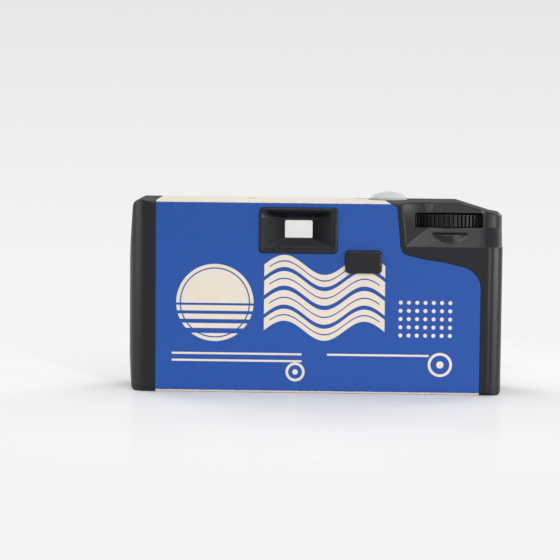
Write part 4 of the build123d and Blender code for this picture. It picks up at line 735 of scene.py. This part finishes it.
def floor():
    """A pale sheet that fades into the background away from the camera."""
    mesh = bmesh.new()
    bmesh.ops.create_grid(mesh, x_segments=FLOOR_SEGMENTS, y_segments=FLOOR_SEGMENTS, size=FLOOR_HALF)
    sheet = linked("floor", mesh_data("floor", mesh))
    finish = Finish("floor_sheet")
    metres = finish.node("ShaderNodeTexCoord", output="Object")
    away = finish.node("ShaderNodeVectorMath", {"operation": "LENGTH"}, {0: metres}, "Value")
    fade = ((away - FLOOR_FADE_START) / (FLOOR_FADE_END - FLOOR_FADE_START)).clipped()
    inputs = {"Base Color": (*FLOOR_COLOUR, 1), "Specular IOR Level": 0.0}
    matt = finish.node("ShaderNodeBsdfPrincipled", inputs=inputs)
    inputs = {"Base Color": (*FLOOR_COLOUR, 1), "Metallic": 1.0, "Roughness": FLOOR_SHINE_ROUGH}
    shine = finish.node("ShaderNodeBsdfPrincipled", inputs=inputs)
    solid = finish.node("ShaderNodeMixShader", inputs={0: FLOOR_SHINE, 1: matt, 2: shine})
    gone = finish.node("ShaderNodeBsdfTransparent")
    finish.show(finish.node("ShaderNodeMixShader", inputs={0: fade, 1: solid, 2: gone}))
    sheet.data.materials.append(finish.material)


def world():
    """Plain light all round, and a pale background where it is seen."""
    studio = bpy.data.worlds.new("studio")
    bpy.context.scene.world = studio
    finish = Finish("studio", studio)
    direction = finish.node("ShaderNodeTexCoord", output="Generated")
    height = finish.parts(direction)[2]
    share = ((height + SEEN_DIP) * SEEN_SLOPE + 0.5).clipped()
    colour = finish.mix(share, SEEN_HIGH, SEEN_LOW)
    seen = finish.node("ShaderNodeBackground", inputs={"Color": colour, "Strength": 1.0})
    level = (0.5 - height * AMBIENT_SLOPE).clipped()
    grey = finish.mix(level, (AMBIENT_HIGH,) * 3, (AMBIENT_LOW,) * 3)
    ambient = finish.node("ShaderNodeBackground", inputs={"Color": grey, "Strength": 1.0})
    camera = finish.node("ShaderNodeLightPath", output="Is Camera Ray")
    glossy = finish.node("ShaderNodeLightPath", output="Is Glossy Ray")
    through = finish.node("ShaderNodeLightPath", output="Is Transmission Ray")
    picked = camera.most(glossy).most(through)
    mixed = finish.node("ShaderNodeMixShader", inputs={0: picked, 1: ambient, 2: seen})
    finish.node("ShaderNodeOutputWorld", inputs={"Surface": mixed})


# Lamps: each one's name, its place and size in metres, and its power in watts
LAMPS = (
    ("key", (0.36, -0.84, 0.30), (0.08, 0.66), 3.1),
    ("above_view", (-0.04, -0.72, 0.72), (0.20, 0.14), 1.1),
    ("over_view", (0.02, -0.93, 0.37), (0.4, 0.14), 0.35),
    ("overhead", (0.0, 0.10, 1.20), (1.0, 1.0), 5.6),
    ("right_side", (0.86, -0.32, 0.08), (0.7, 0.26), 3.8),
    ("left_side", (-0.82, -0.16, 0.16), (0.5, 0.4), 1.3),
    ("front_left", (-0.64, 0.68, 0.40), (0.5, 0.5), 3.6),
    ("front_right", (0.64, 0.68, 0.40), (0.5, 0.5), 3.0),
)


def lamps():
    """The soft lamps of the stage, which all face the middle of the camera."""
    target = Vector((0, 0, BODY_HEIGHT * MM / 2))
    for name, place, size, power in LAMPS:
        data = bpy.data.lights.new(name, "AREA")
        data.shape = "RECTANGLE"
        data.size, data.size_y = size
        data.energy = power
        lamp = linked(name, data)
        lamp.location = place
        lamp.rotation_euler = (target - Vector(place)).to_track_quat("-Z", "Y").to_euler()


def view():
    """The camera, from its place, turns and focal length."""
    ahead = Vector((
        math.sin(VIEW_YAW) * math.cos(VIEW_PITCH),
        math.cos(VIEW_YAW) * math.cos(VIEW_PITCH),
        -math.sin(VIEW_PITCH),
    ))
    level = Vector((math.cos(VIEW_YAW), -math.sin(VIEW_YAW), 0))
    upward = level.cross(ahead)
    right = math.cos(VIEW_ROLL) * level + math.sin(VIEW_ROLL) * upward
    over = math.cos(VIEW_ROLL) * upward - math.sin(VIEW_ROLL) * level
    data = bpy.data.cameras.new("view")
    data.sensor_width = SENSOR
    data.lens = SENSOR * VIEW_FOCUS / PHOTO_WIDTH
    camera = linked("view", data)
    turn = Matrix((right, over, -ahead)).transposed().to_4x4()
    camera.matrix_world = Matrix.Translation(VIEW_PLACE) @ turn
    bpy.context.scene.camera = camera


bpy.context.scene.view_settings.view_transform = "Standard"
view()
world()
lamps()
floor()
dress_plastics()
dress_clear()
dress_inside()
coil_spring()
counter_numbers()
